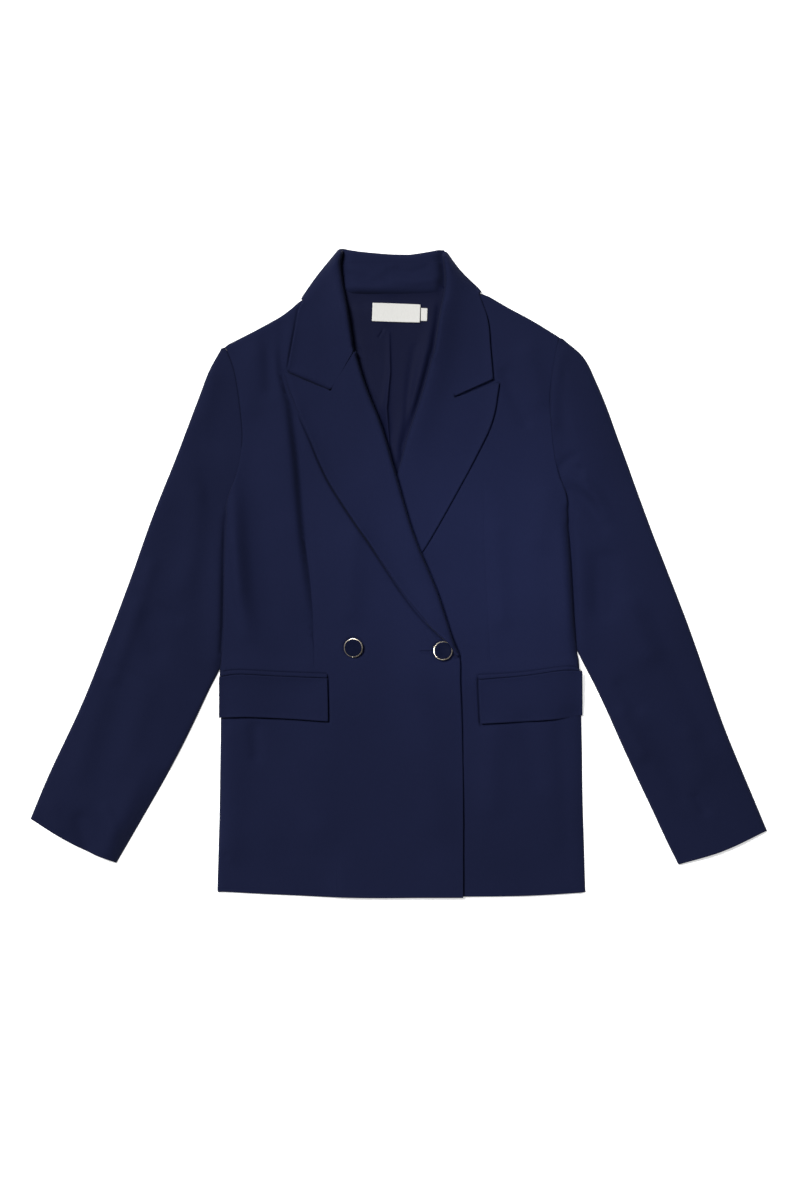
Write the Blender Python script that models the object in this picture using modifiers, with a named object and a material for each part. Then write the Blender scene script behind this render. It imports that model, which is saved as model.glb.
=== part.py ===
"""Double-breasted blazer with peaked lapels, laid flat on its back.

Blender units are metres. Tables and sizes below are in millimetres and are drafted as a tailor would:
"out" is the distance from the centre line towards the piece's own side, "up" the height above the hem.
The wearer's right lies at -X, the collar at +Y, and the cloth's thickness is stacked up along +Z.
"""

import math

import bpy
import numpy as np
from mathutils import Vector
from mathutils.bvhtree import BVHTree

MM = 0.001

# Driving sizes.
LENGTH = 766.0          # hem to the top of the collar fold
BACK_CLOTH = 1.5        # back panel and its lining pressed together
FRONT_CLOTH = 1.8       # front panel, fused and faced
SLEEVE_CLOTH = 1.6
UNDER_SLEEVE_CLOTH = 1.5
LAPEL_CLOTH = 1.5
COLLAR_CLOTH = 1.5
LINING_CLOTH = 1.0
TRIM_CLOTH = 1.2        # welts, flaps, label and tab
SEAM_GAP = 0.4          # between neighbouring pieces
LAYER_GAP = 0.35        # between pieces that lie on each other
BACK_INSET = 0.8        # how far the back's outline stays inside the front's, which covers it
CENTRE_VENT = 3.0       # the back's hem at its centre seam, above the lowest point of the fronts

FRONT_RISE = 2.7        # how far a front stands off the back in the middle of the panel
SLEEVE_RISE = 3.3       # the same for the upper sleeve
EDGE_ROUNDING = 30.0    # width over which a folded edge comes down to the layer below
OVERLAP_LIFT = 2.15     # the right front where it laps over the left one
TAIL_LIFT = 1.85        # and where the hidden tail of the left lapel lies between them
TUCK_DEPTH = 10.0       # how far the sleeve's inner edge lies under the body
TUCK_LIFT = 3.85        # how far it raises the body's side
COLLAR_LIFT = 1.9       # how far the collar fall raises the back neck that lies on it

ROLL_HEIGHT = 3.2       # extra height of a lapel and a collar wing along the roll line
ROLL_EDGE = 5.0         # width in which a lapel rounds over at the roll line
ROLL_WIDTH = 46.0       # width over which it comes down to lie flat
ROLL_COVER = 6.0        # how far a front's neck edge stays behind the roll line
ROLL_RADIUS = 2.5       # fold between collar fall and stand
FOLD_TOP = 11.2         # height of the collar fall at the roll line, where it turns round the shoulder
FOLD_EDGE = 8.6         # the same at the fall's outer edge
WING_TURN = 5.0         # how far the fall turns under at the wings
STAND_TURN = 9.0        # and over, down to the stand seam, behind the neck
COLLAR_MIDDLE = -7.0    # x of the centre back of the collar as it lies
COLLAR_DIP = 758.0      # its fold there
FALL_EDGE = 705.0       # the fall's outer edge behind the neck
STAND_SEAM = 749.0      # seam between collar fall and stand, just inside the fold
STAND_RISE = 1.3        # how far the stand's lower edge stands up
NECK_SEAM = 718.0
BACK_NECK = 714.0       # the back panels' upper edge, below the neck seam
PLEAT_HEIGHT = 1.2      # depth of the lining's centre pleat

BUTTON_RADIUS = 11.4
BUTTON_HEIGHT = 3.6
RIM_WIDTH = 1.25
NEAR_HEIGHT = 8.0       # height from which a panel's nearest edge is sought

BODY_ROWS = 22          # rows of a body panel, with one at the underarm and one at the lapel's break point
UNDERARM_ROW = 15
BREAK_ROW = 9
SLEEVE_ROWS = 19        # rows of a sleeve, which meet the body's rows from the underarm up
SLEEVE_UNDERARM_ROW = 12

RIGHT = {
    "sign": -1,
    "side_seam": [(213, 7), (210, 120), (209, 210), (210, 268), (207, 330), (205, 425), (201, 470)],
    "armhole": [(201, 470), (189, 505), (184, 540), (188, 587), (194, 622), (204, 649)],
    "shoulder": [(204, 649), (165, 669), (133, 687), (118, 700), (105, 707), (88, 716)],
    "front_edge": [(-76, 0), (-76, 104), (-74.5, 201), (-71, 286)],
    "roll_line": [(-71, 286), (-64, 303), (-44, 363), (-24, 411), (-11, 448), (3, 496), (20, 555),
                  (39, 603), (51, 643)],
    "collar_roll": [(51, 643), (60, 700), (67, 745), (70, 766)],
    "lapel_edge": [(-69, 285), (-63.8, 296), (-44.8, 314), (-22, 338), (2, 370), (34, 418), (55, 448),
                   (85, 496), (107, 548), (129, 596), (135, 618)],
    "notch": (80, 597),
    "collar_notch": (80.6, 599.6),
    "collar_tip": (131, 621.5),
    "collar_edge": [(131, 621.5), (122, 670), (117, 695), (115.5, 706)],
    "collar_fold": [(70, 766), (95, 735), (115.5, 706)],
    "hem": [(213, 7), (130, 3), (53, 0), (-76, 0)],
    "sleeve_outer": [(434, 93), (410, 150), (374, 227), (325, 352), (289, 452), (256, 535), (224, 620),
                     (214, 643), (209, 647.5)],
    "sleeve_inner": [(333, 41), (278, 137), (247, 196), (219, 255), (206, 283)],
    "cuff": [(434, 93), (402, 73), (368, 55), (333, 41)],
    "welt_top": [(209, 266), (190, 268.5), (140, 266), (84, 264)],
    "flap_top": [(211.5, 260), (190, 263.5), (140, 261), (84, 259)],
    "flap_bottom": [(212, 212), (177, 213), (130, 211), (83, 208)],
    "button": (53, 295),
}

LEFT = {
    "sign": 1,
    "side_seam": [(220, 7), (217, 110), (215, 215), (213, 268), (208, 324), (203, 410), (197, 475)],
    "armhole": [(197, 475), (186, 507), (181, 544), (178, 581), (181, 622), (189, 660)],
    "shoulder": [(189, 660), (158, 679), (125, 697), (106, 708), (92, 713), (76, 718)],
    "front_edge": [(-75, 2), (-75, 104), (-73, 201), (-71, 286)],
    "roll_line": [(-71, 286), (-67, 300), (-55, 345), (-38, 400), (-20, 450), (-2, 498), (10, 542),
                  (25, 587), (39, 636)],
    "collar_roll": [(39, 636), (46, 681), (53, 723), (55, 763)],
    "lapel_edge": [(-69, 285), (-62, 296), (-50, 308), (-24, 340), (0, 372), (26, 405), (48, 441),
                   (64, 470), (90, 518), (110, 561), (118.5, 607)],
    "notch": (66, 589),
    "collar_notch": (66.6, 591.6),
    "collar_tip": (111, 611.5),
    "collar_edge": [(111, 611.5), (108, 648), (105, 681), (98, 714.5)],
    "collar_fold": [(55, 763), (73, 739), (98, 714.5)],
    "hem": [(220, 7), (150, 3), (60, 2), (-75, 2)],
    "sleeve_outer": [(434, 79), (384, 200), (340, 324), (299, 430), (259, 540), (238, 596), (213, 645),
                     (204, 653), (194, 658.5)],
    "sleeve_inner": [(330, 39), (313, 74), (275, 155), (236, 241), (212, 289)],
    "cuff": [(434, 79), (380, 54), (330, 39)],
    "welt_top": [(209, 271.5), (194, 272.5), (147, 266), (93, 262.5)],
    "flap_top": [(216, 267.5), (194, 268), (147, 261.5), (94, 257)],
    "flap_bottom": [(216.5, 215), (190, 211), (150, 208), (96.5, 205)],
    "button": (52, 291),
}

SIDES = {"right": RIGHT, "left": LEFT}

# What shows inside the neck, as (x, up): the stand's ends, and the lining's sides from the V up.
STAND = {
    "top": [(-66, STAND_SEAM - SEAM_GAP), (57, STAND_SEAM - SEAM_GAP)],
    "bottom": [(-69, NECK_SEAM), (-7, NECK_SEAM - 1), (54, NECK_SEAM)],
}
NECK_LINING = {
    "right": [(-18, 462), (-24, 500), (-34, 545), (-50, 600), (-62, 650), (-65, 690), (-68, NECK_SEAM - 1.5)],
    "left": [(8, 462), (12, 500), (22, 545), (38, 600), (54, 650), (54, 690), (55, NECK_SEAM - 1.5)],
    "columns": [0, 0.2, 0.36, 0.455, 0.47, 0.6, 0.8, 1.0],
    "pleat": [(504, -7), (531, -11), (560, -13), (600, -12), (662, -11)],    # (up, x) of the pleat's fold
}
LABELS = [
    {"name": "neck_label", "middle": (-2.9, 689.2), "width": 56.5, "height": 21.5, "columns": 6},
    {"name": "size_tab", "middle": (29.9, 687.2), "width": 7.6, "height": 15.2, "columns": 2},
]
LABEL_TILT = -2.0       # degrees

# Soft folds of the cloth: start and end (x, up), half width, height (a trough is negative).
FOLDS = {
    "right": [
        {"name": "below the collar", "start": (-138, 640), "end": (-115, 464), "half_width": 16,
         "height": -0.9},
        {"name": "bust dart", "start": (-113, 450), "end": (-100, 290), "half_width": 14, "height": -0.5},
        {"name": "beside the dart", "start": (-158, 560), "end": (-140, 330), "half_width": 22,
         "height": 0.7},
    ],
    "left": [
        {"name": "bust dart", "start": (101, 500), "end": (107, 290), "half_width": 14, "height": -0.4},
        {"name": "armhole to lapel", "start": (140, 585), "end": (160, 520), "half_width": 20,
         "height": -0.4},
    ],
}

CLOTH = {"color": (0.0125, 0.0155, 0.0500), "roughness": 0.85, "metallic": 0.0}
LINING = {"color": (0.0110, 0.0125, 0.0390), "roughness": 0.55, "metallic": 0.0}
LABEL = {"color": (0.78, 0.77, 0.73), "roughness": 0.80, "metallic": 0.0}
CUP_METAL = {"color": (0.78, 0.66, 0.45), "roughness": 0.25, "metallic": 1.0}
BUTTON_FACE = {"color": (0.0080, 0.0100, 0.0280), "roughness": 0.35, "metallic": 0.0}


# Curves and patches.

def smooth(share):
    share = np.clip(share, 0.0, 1.0)
    return share * share * (3.0 - 2.0 * share)


def ramp(value, start, end):
    """0 before start, 1 past end, smooth between."""
    return smooth((value - start) / (end - start))


def arch(distance, width):
    """Quarter round of a folded edge: 0 at the edge, 1 from width inwards."""
    share = np.clip(distance / width, 0.0, 1.0)
    return np.sqrt(1.0 - (1.0 - share) ** 2)


def eased(count, amount=0.5):
    """count + 1 shares from 0 to 1, closer together at both ends, with one at the middle if count is even."""
    even = np.linspace(0.0, 1.0, count + 1)
    return (1.0 - amount) * even + amount * (0.5 - 0.5 * np.cos(math.pi * even))


def bend(points):
    """A smooth curve through the points, as a function of the share of its length."""
    points = np.array(points, float)
    if len(points) == 2:
        return lambda shares: points[0] + np.outer(shares, points[1] - points[0])
    times = np.concatenate([[0.0], np.cumsum(np.sqrt(np.linalg.norm(np.diff(points, axis=0), axis=1)))])
    slopes = np.empty_like(points)
    slopes[1:-1] = (points[2:] - points[:-2]) / (times[2:] - times[:-2])[:, None]
    slopes[0] = (points[1] - points[0]) / (times[1] - times[0])
    slopes[-1] = (points[-1] - points[-2]) / (times[-1] - times[-2])
    dense = [points[:1]]
    for i in range(len(points) - 1):
        s = np.linspace(0.0, 1.0, 13)[1:, None]
        step = times[i + 1] - times[i]
        dense.append((2 * s**3 - 3 * s**2 + 1) * points[i] + (s**3 - 2 * s**2 + s) * step * slopes[i]
                     + (3 * s**2 - 2 * s**3) * points[i + 1] + (s**3 - s**2) * step * slopes[i + 1])
    dense = np.concatenate(dense)
    lengths = np.concatenate([[0.0], np.cumsum(np.linalg.norm(np.diff(dense, axis=0), axis=1))])
    lengths /= lengths[-1]
    return lambda shares: np.column_stack([np.interp(shares, lengths, dense[:, k]) for k in (0, 1)])


def chain(parts):
    """Curves that meet at corners: a list of (curve, share at which it ends)."""
    def along(shares):
        shares = np.atleast_1d(shares)
        result = np.empty((len(shares), 2))
        start = 0.0
        for curve, end in parts:
            mine = (shares >= start - 1e-9) & (shares <= end + 1e-9)
            result[mine] = curve(np.clip((shares[mine] - start) / (end - start), 0.0, 1.0))
            start = end
        return result
    return along


BODY_SHARES = np.linspace(0.0, 1.0, BODY_ROWS + 1)
BAND_SHARES = eased(6, 0.4)


def placed(points, sign, shift=(0.0, 0.0)):
    """A table's (out, up) rows as (x, up) points, moved by a small shift (out, up)."""
    return [(sign * (out + shift[0]), up + shift[1]) for out, up in points]


class Patch:
    """A flat pattern piece between four edge curves: rows from bottom to top, columns left to right."""

    def __init__(self, bottom, top, left, right, across, upward):
        low, high = bottom(across)[None], top(across)[None]
        near, far = left(upward)[:, None], right(upward)[:, None]
        u, v = across[None, :, None], upward[:, None, None]
        corners = ((1 - u) * (1 - v) * low[:, :1] + u * (1 - v) * low[:, -1:]
                   + (1 - u) * v * high[:, :1] + u * v * high[:, -1:])
        plan = (1 - v) * low + v * high + (1 - u) * near + u * far - corners
        self.x, self.up = plan[..., 0], plan[..., 1]
        across_steps = np.hypot(np.diff(self.x, axis=1), np.diff(self.up, axis=1))
        upward_steps = np.hypot(np.diff(self.x, axis=0), np.diff(self.up, axis=0))
        self.from_left = np.pad(np.cumsum(across_steps, axis=1), ((0, 0), (1, 0)))
        self.from_right = self.from_left[:, -1:] - self.from_left
        self.from_bottom = np.pad(np.cumsum(upward_steps, axis=0), ((1, 0), (0, 0)))
        self.from_top = self.from_bottom[-1:] - self.from_bottom


# Heights of the layers.

def edge_out(side, up):
    """How far out a side's seam or armhole lies at this height."""
    seam, armhole = bend(side["side_seam"]), bend(side["armhole"])
    rows = np.concatenate([seam(np.linspace(0, 1, 60)), armhole(np.linspace(0, 1, 40))])
    return np.interp(up, rows[:, 1], rows[:, 0])


def over_edge(up):
    """Where the right front's edge and its roll line lie, as x."""
    edge, roll = bend(RIGHT["front_edge"]), bend(RIGHT["roll_line"])
    rows = np.concatenate([edge(np.linspace(0, 1, 40)), roll(np.linspace(0, 1, 60))])
    return -np.interp(up, rows[:, 1], rows[:, 0])


def outside_body(x, up):
    """Distance beyond the body's side or armhole, negative inside it."""
    return np.abs(x) - np.where(x < 0, edge_out(RIGHT, up), edge_out(LEFT, up))


def body_lift(x, up):
    """How far the layers below raise the body: the sleeves at its sides, the collar fall at the neck."""
    beside = 1 - ramp(-outside_body(x, up), 24, 64)
    over_sleeve = ramp(up, 212, 246) * (1 - ramp(up, 482, 512))
    return TUCK_LIFT * beside * over_sleeve + COLLAR_LIFT * ramp(up, 664, 692)


def fold_height(folds, x, up):
    """Sum of the soft folds at these places."""
    total = np.zeros_like(x)
    for fold in folds:
        start, run = np.array(fold["start"], float), np.subtract(fold["end"], fold["start"])
        along = np.clip(((x - start[0]) * run[0] + (up - start[1]) * run[1]) / (run @ run), 0, 1)
        away = np.hypot(x - start[0] - along * run[0], up - start[1] - along * run[1])
        total += fold["height"] * np.exp(-(away / fold["half_width"]) ** 2)
    return total


def front_height(name, patch, backs):
    """Upper face of a front, brought down to the back along the side and the shoulder."""
    x, up = patch.x, patch.up
    low = back_height(backs, x, up) + LAYER_GAP + FRONT_CLOTH
    rise = FRONT_RISE + fold_height(FOLDS[name], x, up)
    if name == "right":
        lapped = ramp(x, -118, -78) * (1 - ramp(up, 508, 590))
        rise = rise + OVERLAP_LIFT * lapped + TAIL_LIFT * lapped * ramp(up, 175, 262)
    side_round = 1 - (1 - arch(patch.from_left, EDGE_ROUNDING)) * (1 - ramp(up, 486, 530))
    return low + rise * side_round * arch(patch.from_top, EDGE_ROUNDING)


def roll_rise(name, x, up):
    """How far a lapel stands up along its roll line: pressed flat where the other front covers it."""
    if name == "right":
        return ROLL_HEIGHT * ramp(up, 290, 350)
    return ROLL_HEIGHT * ramp(x - over_edge(up), 4, 44) * ramp(up, 480, 530)


def sleeve_height(patch):
    """Upper face of a sleeve: rounded at both folds, pressed where it goes under the body."""
    x, up = patch.x, patch.up
    beside_body = 1 - (1 - ramp(outside_body(x, up), 6, 40)) * (1 - ramp(up, 478, 530))
    inner_round = 1 - (1 - arch(patch.from_right, EDGE_ROUNDING)) * (1 - ramp(up, 250, 300))
    rise = FRONT_RISE + (SLEEVE_RISE - FRONT_RISE) * ramp(outside_body(x, up), 0, 45)
    low = UNDER_SLEEVE_CLOTH + LAYER_GAP + SLEEVE_CLOTH
    return low + rise * arch(patch.from_left, EDGE_ROUNDING) * beside_body * inner_round


# Blender objects.

def material(name, look):
    made = bpy.data.materials.new(name)
    made.use_nodes = True
    shader = made.node_tree.nodes["Principled BSDF"]
    shader.inputs["Base Color"].default_value = (*look["color"], 1.0)
    shader.inputs["Roughness"].default_value = look["roughness"]
    shader.inputs["Metallic"].default_value = look["metallic"]
    made.diffuse_color = (*look["color"], 1.0)
    return made


def finish(name, mesh, look):
    """Makes the object, gives it its material and puts it in the blazer's collection."""
    made = bpy.data.objects.new(name, mesh)
    mesh.materials.append(material(name + "_finish", look))
    mesh.shade_smooth()
    mesh.set_sharp_from_angle(angle=math.radians(40))
    blazer.objects.link(made)
    return made


def cloth(name, x, up, height, thickness, look, facing_up=True):
    """A cloth wall: its outer face is the given grid, and Solidify adds the thickness behind it."""
    rows, columns = x.shape
    points = np.stack([x, up - LENGTH / 2, height], axis=-1).reshape(-1, 3) * MM
    faces = []
    for row in range(rows - 1):
        for column in range(columns - 1):
            corner = row * columns + column
            faces.append((corner, corner + 1, corner + columns + 1, corner + columns))
    mesh = bpy.data.meshes.new(name)
    mesh.from_pydata(points.tolist(), [], faces)
    mesh.update()
    upward = sum(face.normal.z * face.area for face in mesh.polygons) > 0
    if upward != facing_up:
        mesh.flip_normals()
    made = finish(name, mesh, look)
    wall = made.modifiers.new("Cloth thickness", "SOLIDIFY")
    wall.thickness = thickness * MM
    wall.offset = -1.0
    wall.use_even_offset = True
    return made


def turned(name, profile, place, look):
    """A round piece: a profile (radius, height) from the top down, turned by a Screw modifier."""
    mesh = bpy.data.meshes.new(name)
    points = [(radius * MM, 0.0, height * MM) for radius, height in profile]
    mesh.from_pydata(points, [(i, i + 1) for i in range(len(points) - 1)], [])
    made = finish(name, mesh, look)
    made.location = (place[0] * MM, (place[1] - LENGTH / 2) * MM, place[2] * MM)
    turn = made.modifiers.new("Turn", "SCREW")
    turn.steps = turn.render_steps = 32
    turn.use_merge_vertices = True
    turn.merge_threshold = 0.00001
    turn.use_smooth_shade = True
    return made


class Panel:
    """A finished panel's outer face, asked for its height under what lies on it."""

    def __init__(self, made):
        corners = [vertex.co.copy() for vertex in made.data.vertices]
        self.tree = BVHTree.FromPolygons(corners, [tuple(face.vertices) for face in made.data.polygons])

    def height(self, x, up):
        """Height in millimetres at each place, or at the panel's nearest edge beyond its outline."""
        result = np.empty(x.shape)
        for index in np.ndindex(x.shape):
            above = Vector((x[index] * MM, (up[index] - LENGTH / 2) * MM, 1.0))
            hit = self.tree.ray_cast(above, Vector((0, 0, -1)))[0]
            if hit is None:
                hit = self.tree.find_nearest(Vector((above.x, above.y, NEAR_HEIGHT * MM)))[0]
            result[index] = hit.z / MM
        return result

    def under(self, x, up):
        """Height under a grid of points, raised where the panel bulges up between two of them."""
        height = self.height(x, up)
        for axis in (0, 1):
            middle = [(np.delete(grid, 0, axis) + np.delete(grid, -1, axis)) / 2 for grid in (x, up, height)]
            bulge = np.maximum(self.height(middle[0], middle[1]) - middle[2], 0)
            before, after = [(0, 0), (0, 0)], [(0, 0), (0, 0)]
            before[axis], after[axis] = (1, 0), (0, 1)
            height = height + np.maximum(np.pad(bulge, before), np.pad(bulge, after))
        return height


# The pieces.

def outer_edge(side, shift=0.0):
    """Side seam and armhole as one edge with a corner, and a row of points, at the underarm."""
    seam = bend(placed(side["side_seam"], side["sign"], (shift, 0)))
    armhole = bend(placed(side["armhole"], side["sign"], (shift, 0)))
    return chain([(seam, UNDERARM_ROW / BODY_ROWS), (armhole, 1.0)])


def build_back(name, side):
    """Half of the back, from the side seam to the centre seam."""
    sign = side["sign"]
    neck_point, centre_neck = (side["shoulder"][-1][0], BACK_NECK), (SEAM_GAP / 2, BACK_NECK)
    side_foot, centre_foot = side["side_seam"][0], (SEAM_GAP / 2, CENTRE_VENT)
    hem = [(side_foot[0] - BACK_INSET, side_foot[1]), (side_foot[0] * 0.3, CENTRE_VENT), centre_foot]
    tip = (side["armhole"][-1][0] - BACK_INSET, side["armhole"][-1][1])
    shoulder = [tip] + [(out, up - 2 * BACK_INSET) for out, up in side["shoulder"][1:-1]] + [neck_point]
    top = chain([(bend(placed(shoulder, sign)), 0.5), (bend(placed([neck_point, centre_neck], sign)), 1.0)])
    centre = bend(placed([centre_foot, centre_neck], sign))
    outer = outer_edge(side, -BACK_INSET)
    patch = Patch(bend(placed(hem, sign)), top, outer, centre, eased(6, 0.35), BODY_SHARES)
    height = body_lift(patch.x, patch.up)
    return Panel(cloth("back_" + name, patch.x, patch.up, height, BACK_CLOTH, CLOTH, facing_up=False))


def back_height(backs, x, up):
    """Height of the back's inside, on whichever half lies there."""
    face = np.where(x < 0, backs["right"].height(x, up), backs["left"].height(x, up))
    return face + BACK_CLOTH


def build_front(name, side, backs):
    """A front from the hem to the shoulder. Its neck edge stays just behind the roll line that covers it."""
    sign = side["sign"]
    edge = bend(placed(side["front_edge"], sign))
    hidden = [(out + ROLL_COVER * min(1.0, i / 3), up) for i, (out, up) in enumerate(side["roll_line"])]
    below_collar = (side["collar_roll"][1][0] + ROLL_COVER + 2, side["collar_roll"][1][1] - 10)
    neck = bend(placed(hidden + [below_collar, side["shoulder"][-1]], sign))
    inner = chain([(edge, BREAK_ROW / BODY_ROWS), (neck, 1.0)])
    hem, shoulder = bend(placed(side["hem"], sign)), bend(placed(side["shoulder"], sign))
    patch = Patch(hem, shoulder, outer_edge(side), inner, eased(11, 0.4), BODY_SHARES)
    height = front_height(name, patch, backs)
    return Panel(cloth("front_" + name, patch.x, patch.up, height, FRONT_CLOTH, CLOTH))


def build_lapel(name, side, front):
    """Facing of the lapel, from the roll line to its outer edge, with gorge seam and notch at its top."""
    sign = side["sign"]
    roll, outer = bend(placed(side["roll_line"], sign)), bend(placed(side["lapel_edge"], sign))
    foot = bend(placed([side["roll_line"][0], side["lapel_edge"][0]], sign))
    gorge = bend(placed([side["roll_line"][-1], side["notch"]], sign))
    notch = bend(placed([side["notch"], side["lapel_edge"][-1]], sign))
    patch = Patch(foot, chain([(gorge, 0.5), (notch, 1.0)]), roll, outer, eased(8, 0.45), eased(16, 0.35))
    rise = roll_rise(name, patch.x, patch.up)
    rolled = rise * (arch(patch.from_left, ROLL_EDGE) - ramp(patch.from_left, ROLL_EDGE, ROLL_WIDTH))
    height = front.under(patch.x, patch.up) + LAYER_GAP + LAPEL_CLOTH + rolled
    cloth("lapel_" + name, patch.x, patch.up, height, LAPEL_CLOTH, CLOTH)


def fold_line(side, top_inset, edge_inset):
    """Where the collar fall turns round the shoulder, moved in by the fold's own rounding."""
    peak, middle, end = (np.array(point, float) for point in side["collar_fold"])
    run = (end - peak) / np.linalg.norm(end - peak)
    outward = np.array([-run[1], run[0]]) * (1 if -run[1] > 0 else -1)
    start = peak + run * ROLL_RADIUS - outward * top_inset
    middle = middle - outward * (top_inset + edge_inset) / 2
    turned_out = np.array([side["sign"] * outward[0], outward[1]])
    return bend(placed([start, middle, end - outward * edge_inset], side["sign"])), turned_out


def band_section(plan, top, facing_up):
    """One section across the collar fall, as rows of (x, up, height): the turn over the fold, then the fall.

    plan runs from the crest of the fold to the fall's edge. The turn goes back under it where the fall
    faces up, and over it, as seen inside the neck, where the fall lies face down.
    """
    toward = (plan[1] - plan[0]) / np.linalg.norm(plan[1] - plan[0])
    side = 1 if facing_up else -1
    turn = [(plan[0] + toward * ((WING_TURN if facing_up else STAND_TURN) - ROLL_RADIUS), -2 * ROLL_RADIUS)]
    for angle in np.radians([-90, -45, 0, 45]):
        turn.append((plan[0] - toward * ROLL_RADIUS * math.cos(angle), ROLL_RADIUS * (math.sin(angle) - 1)))
    rows = [(place[0], place[1], top[0] + side * drop) for place, drop in turn]
    return np.array(rows + [(place[0], place[1], height) for place, height in zip(plan, top)])


def build_wing(name, side, front):
    """Sections of one collar wing, from the gorge up to the fold round the shoulder, and round that fold."""
    sign, gap = side["sign"], (0.35, 0.25)
    top_rounding, edge_rounding = FOLD_TOP / 2, FOLD_EDGE / 2
    fold, outward = fold_line(side, top_rounding, edge_rounding)
    gorge_end = np.add(side["collar_roll"][0], (ROLL_RADIUS, 0)) + gap
    crest = [gorge_end] + [(out + ROLL_RADIUS, up) for out, up in side["collar_roll"][1:-1]]
    crest = bend(placed(crest, sign) + [tuple(fold([0.0])[0])])
    outer = bend(placed(side["collar_edge"][:-1], sign) + [tuple(fold([1.0])[0])])
    gorge = bend(placed([gorge_end, side["collar_notch"]], sign))
    notch = bend(placed([side["collar_notch"], side["collar_tip"]], sign))
    patch = Patch(chain([(gorge, 0.5), (notch, 1.0)]), fold, crest, outer, BAND_SHARES, eased(7, 0.3))
    flat = front.under(patch.x, patch.up) + LAYER_GAP + COLLAR_CLOTH
    rolled = ROLL_HEIGHT * (1 - ramp(patch.from_left, ROLL_EDGE - ROLL_RADIUS, ROLL_WIDTH))
    at_fold = FOLD_TOP + (FOLD_EDGE - FOLD_TOP) * BAND_SHARES
    near_fold = 1 - ramp(patch.from_top, 0, 30)
    height = (flat + rolled) * (1 - near_fold) + at_fold * near_fold
    plans = np.stack([patch.x, patch.up], axis=-1)
    sections = [band_section(plan, top, True) for plan, top in zip(plans[:-1], height[:-1])]
    above = band_section(plans[-1], at_fold, True)
    below = band_section(plans[-1], np.zeros(len(at_fold)), False)
    for angle in np.radians([90, 45, 0, -45, -90]):
        share = (1 + math.sin(angle)) / 2
        ring = above * share + below * (1 - share)
        ring[:, :2] += np.outer((above[:, 2] - below[:, 2]) / 2 * math.cos(angle), outward)
        sections.append(ring)
    return sections, fold


def build_collar(fronts):
    """The fall as one band: up the right wing, round the shoulder, behind the neck and down the left wing."""
    right_wing, right_fold = build_wing("right", RIGHT, fronts["right"])
    left_wing, left_fold = build_wing("left", LEFT, fronts["left"])
    ends = [right_fold([0.0, 1.0]), left_fold([0.0, 1.0])]
    crest = bend([ends[0][0], (COLLAR_MIDDLE, COLLAR_DIP - ROLL_RADIUS), ends[1][0]])
    edge = bend([ends[0][1], (-60, FALL_EDGE - 2), (COLLAR_MIDDLE, FALL_EDGE), (50, FALL_EDGE), ends[1][1]])
    behind = Patch(right_fold, left_fold, crest, edge, BAND_SHARES, eased(10, 0.3))
    flat = np.zeros(len(BAND_SHARES))
    plans = np.stack([behind.x, behind.up], axis=-1)[1:-1]
    neck = [band_section(plan, flat, False) for plan in plans]
    grid = np.array(right_wing + neck + left_wing[::-1])
    cloth("collar", grid[..., 0], grid[..., 1], grid[..., 2], COLLAR_CLOTH, CLOTH)


def build_stand():
    """Collar stand, seen inside the neck: from the seam just inside the fold down to the neck seam."""
    ends = [bend([STAND["bottom"][i], STAND["top"][i]]) for i in (0, -1)]
    patch = Patch(bend(STAND["bottom"]), bend(STAND["top"]), *ends, eased(10, 0.3), eased(4, 0.0))
    between_wings = ramp(patch.from_left, 4, 24) * ramp(patch.from_right, 4, 24)
    height = 2 * ROLL_RADIUS + STAND_RISE * ramp(patch.from_top, 0, 26) * between_wings
    cloth("collar_stand", patch.x, patch.up, height, COLLAR_CLOTH, CLOTH)


def build_lining(backs):
    """Back neck lining with a pleat down the centre back, its fold towards the wearer's left."""
    right, left = NECK_LINING["right"], NECK_LINING["left"]
    bottom, top = bend([right[0], left[0]]), bend([right[-1], left[-1]])
    patch = Patch(bottom, top, bend(right), bend(left), np.array(NECK_LINING["columns"]), eased(10, 0.2))
    pleat_line = np.interp(patch.up, *zip(*NECK_LINING["pleat"]))
    pleat = PLEAT_HEIGHT * ramp(patch.x - pleat_line, -40, 0) * (patch.x <= pleat_line + 1.0)
    height = back_height(backs, patch.x, patch.up) + LAYER_GAP + LINING_CLOTH + pleat
    return Panel(cloth("back_lining", patch.x, patch.up, height, LINING_CLOTH, LINING))


def build_label(lining):
    """Neck label and the size tab beside it, turned a little, lying on the lining."""
    tilt = math.radians(LABEL_TILT)
    for label in LABELS:
        across, upward = np.meshgrid(np.linspace(-0.5, 0.5, label["columns"] + 1) * label["width"],
                                     np.linspace(-0.5, 0.5, 4) * label["height"])
        x = label["middle"][0] + across * math.cos(tilt) - upward * math.sin(tilt)
        up = label["middle"][1] + across * math.sin(tilt) + upward * math.cos(tilt)
        height = lining.height(x, up).max() + LAYER_GAP + TRIM_CLOTH + 0 * x
        cloth(label["name"], x, up, height, TRIM_CLOTH, LABEL)


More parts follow.
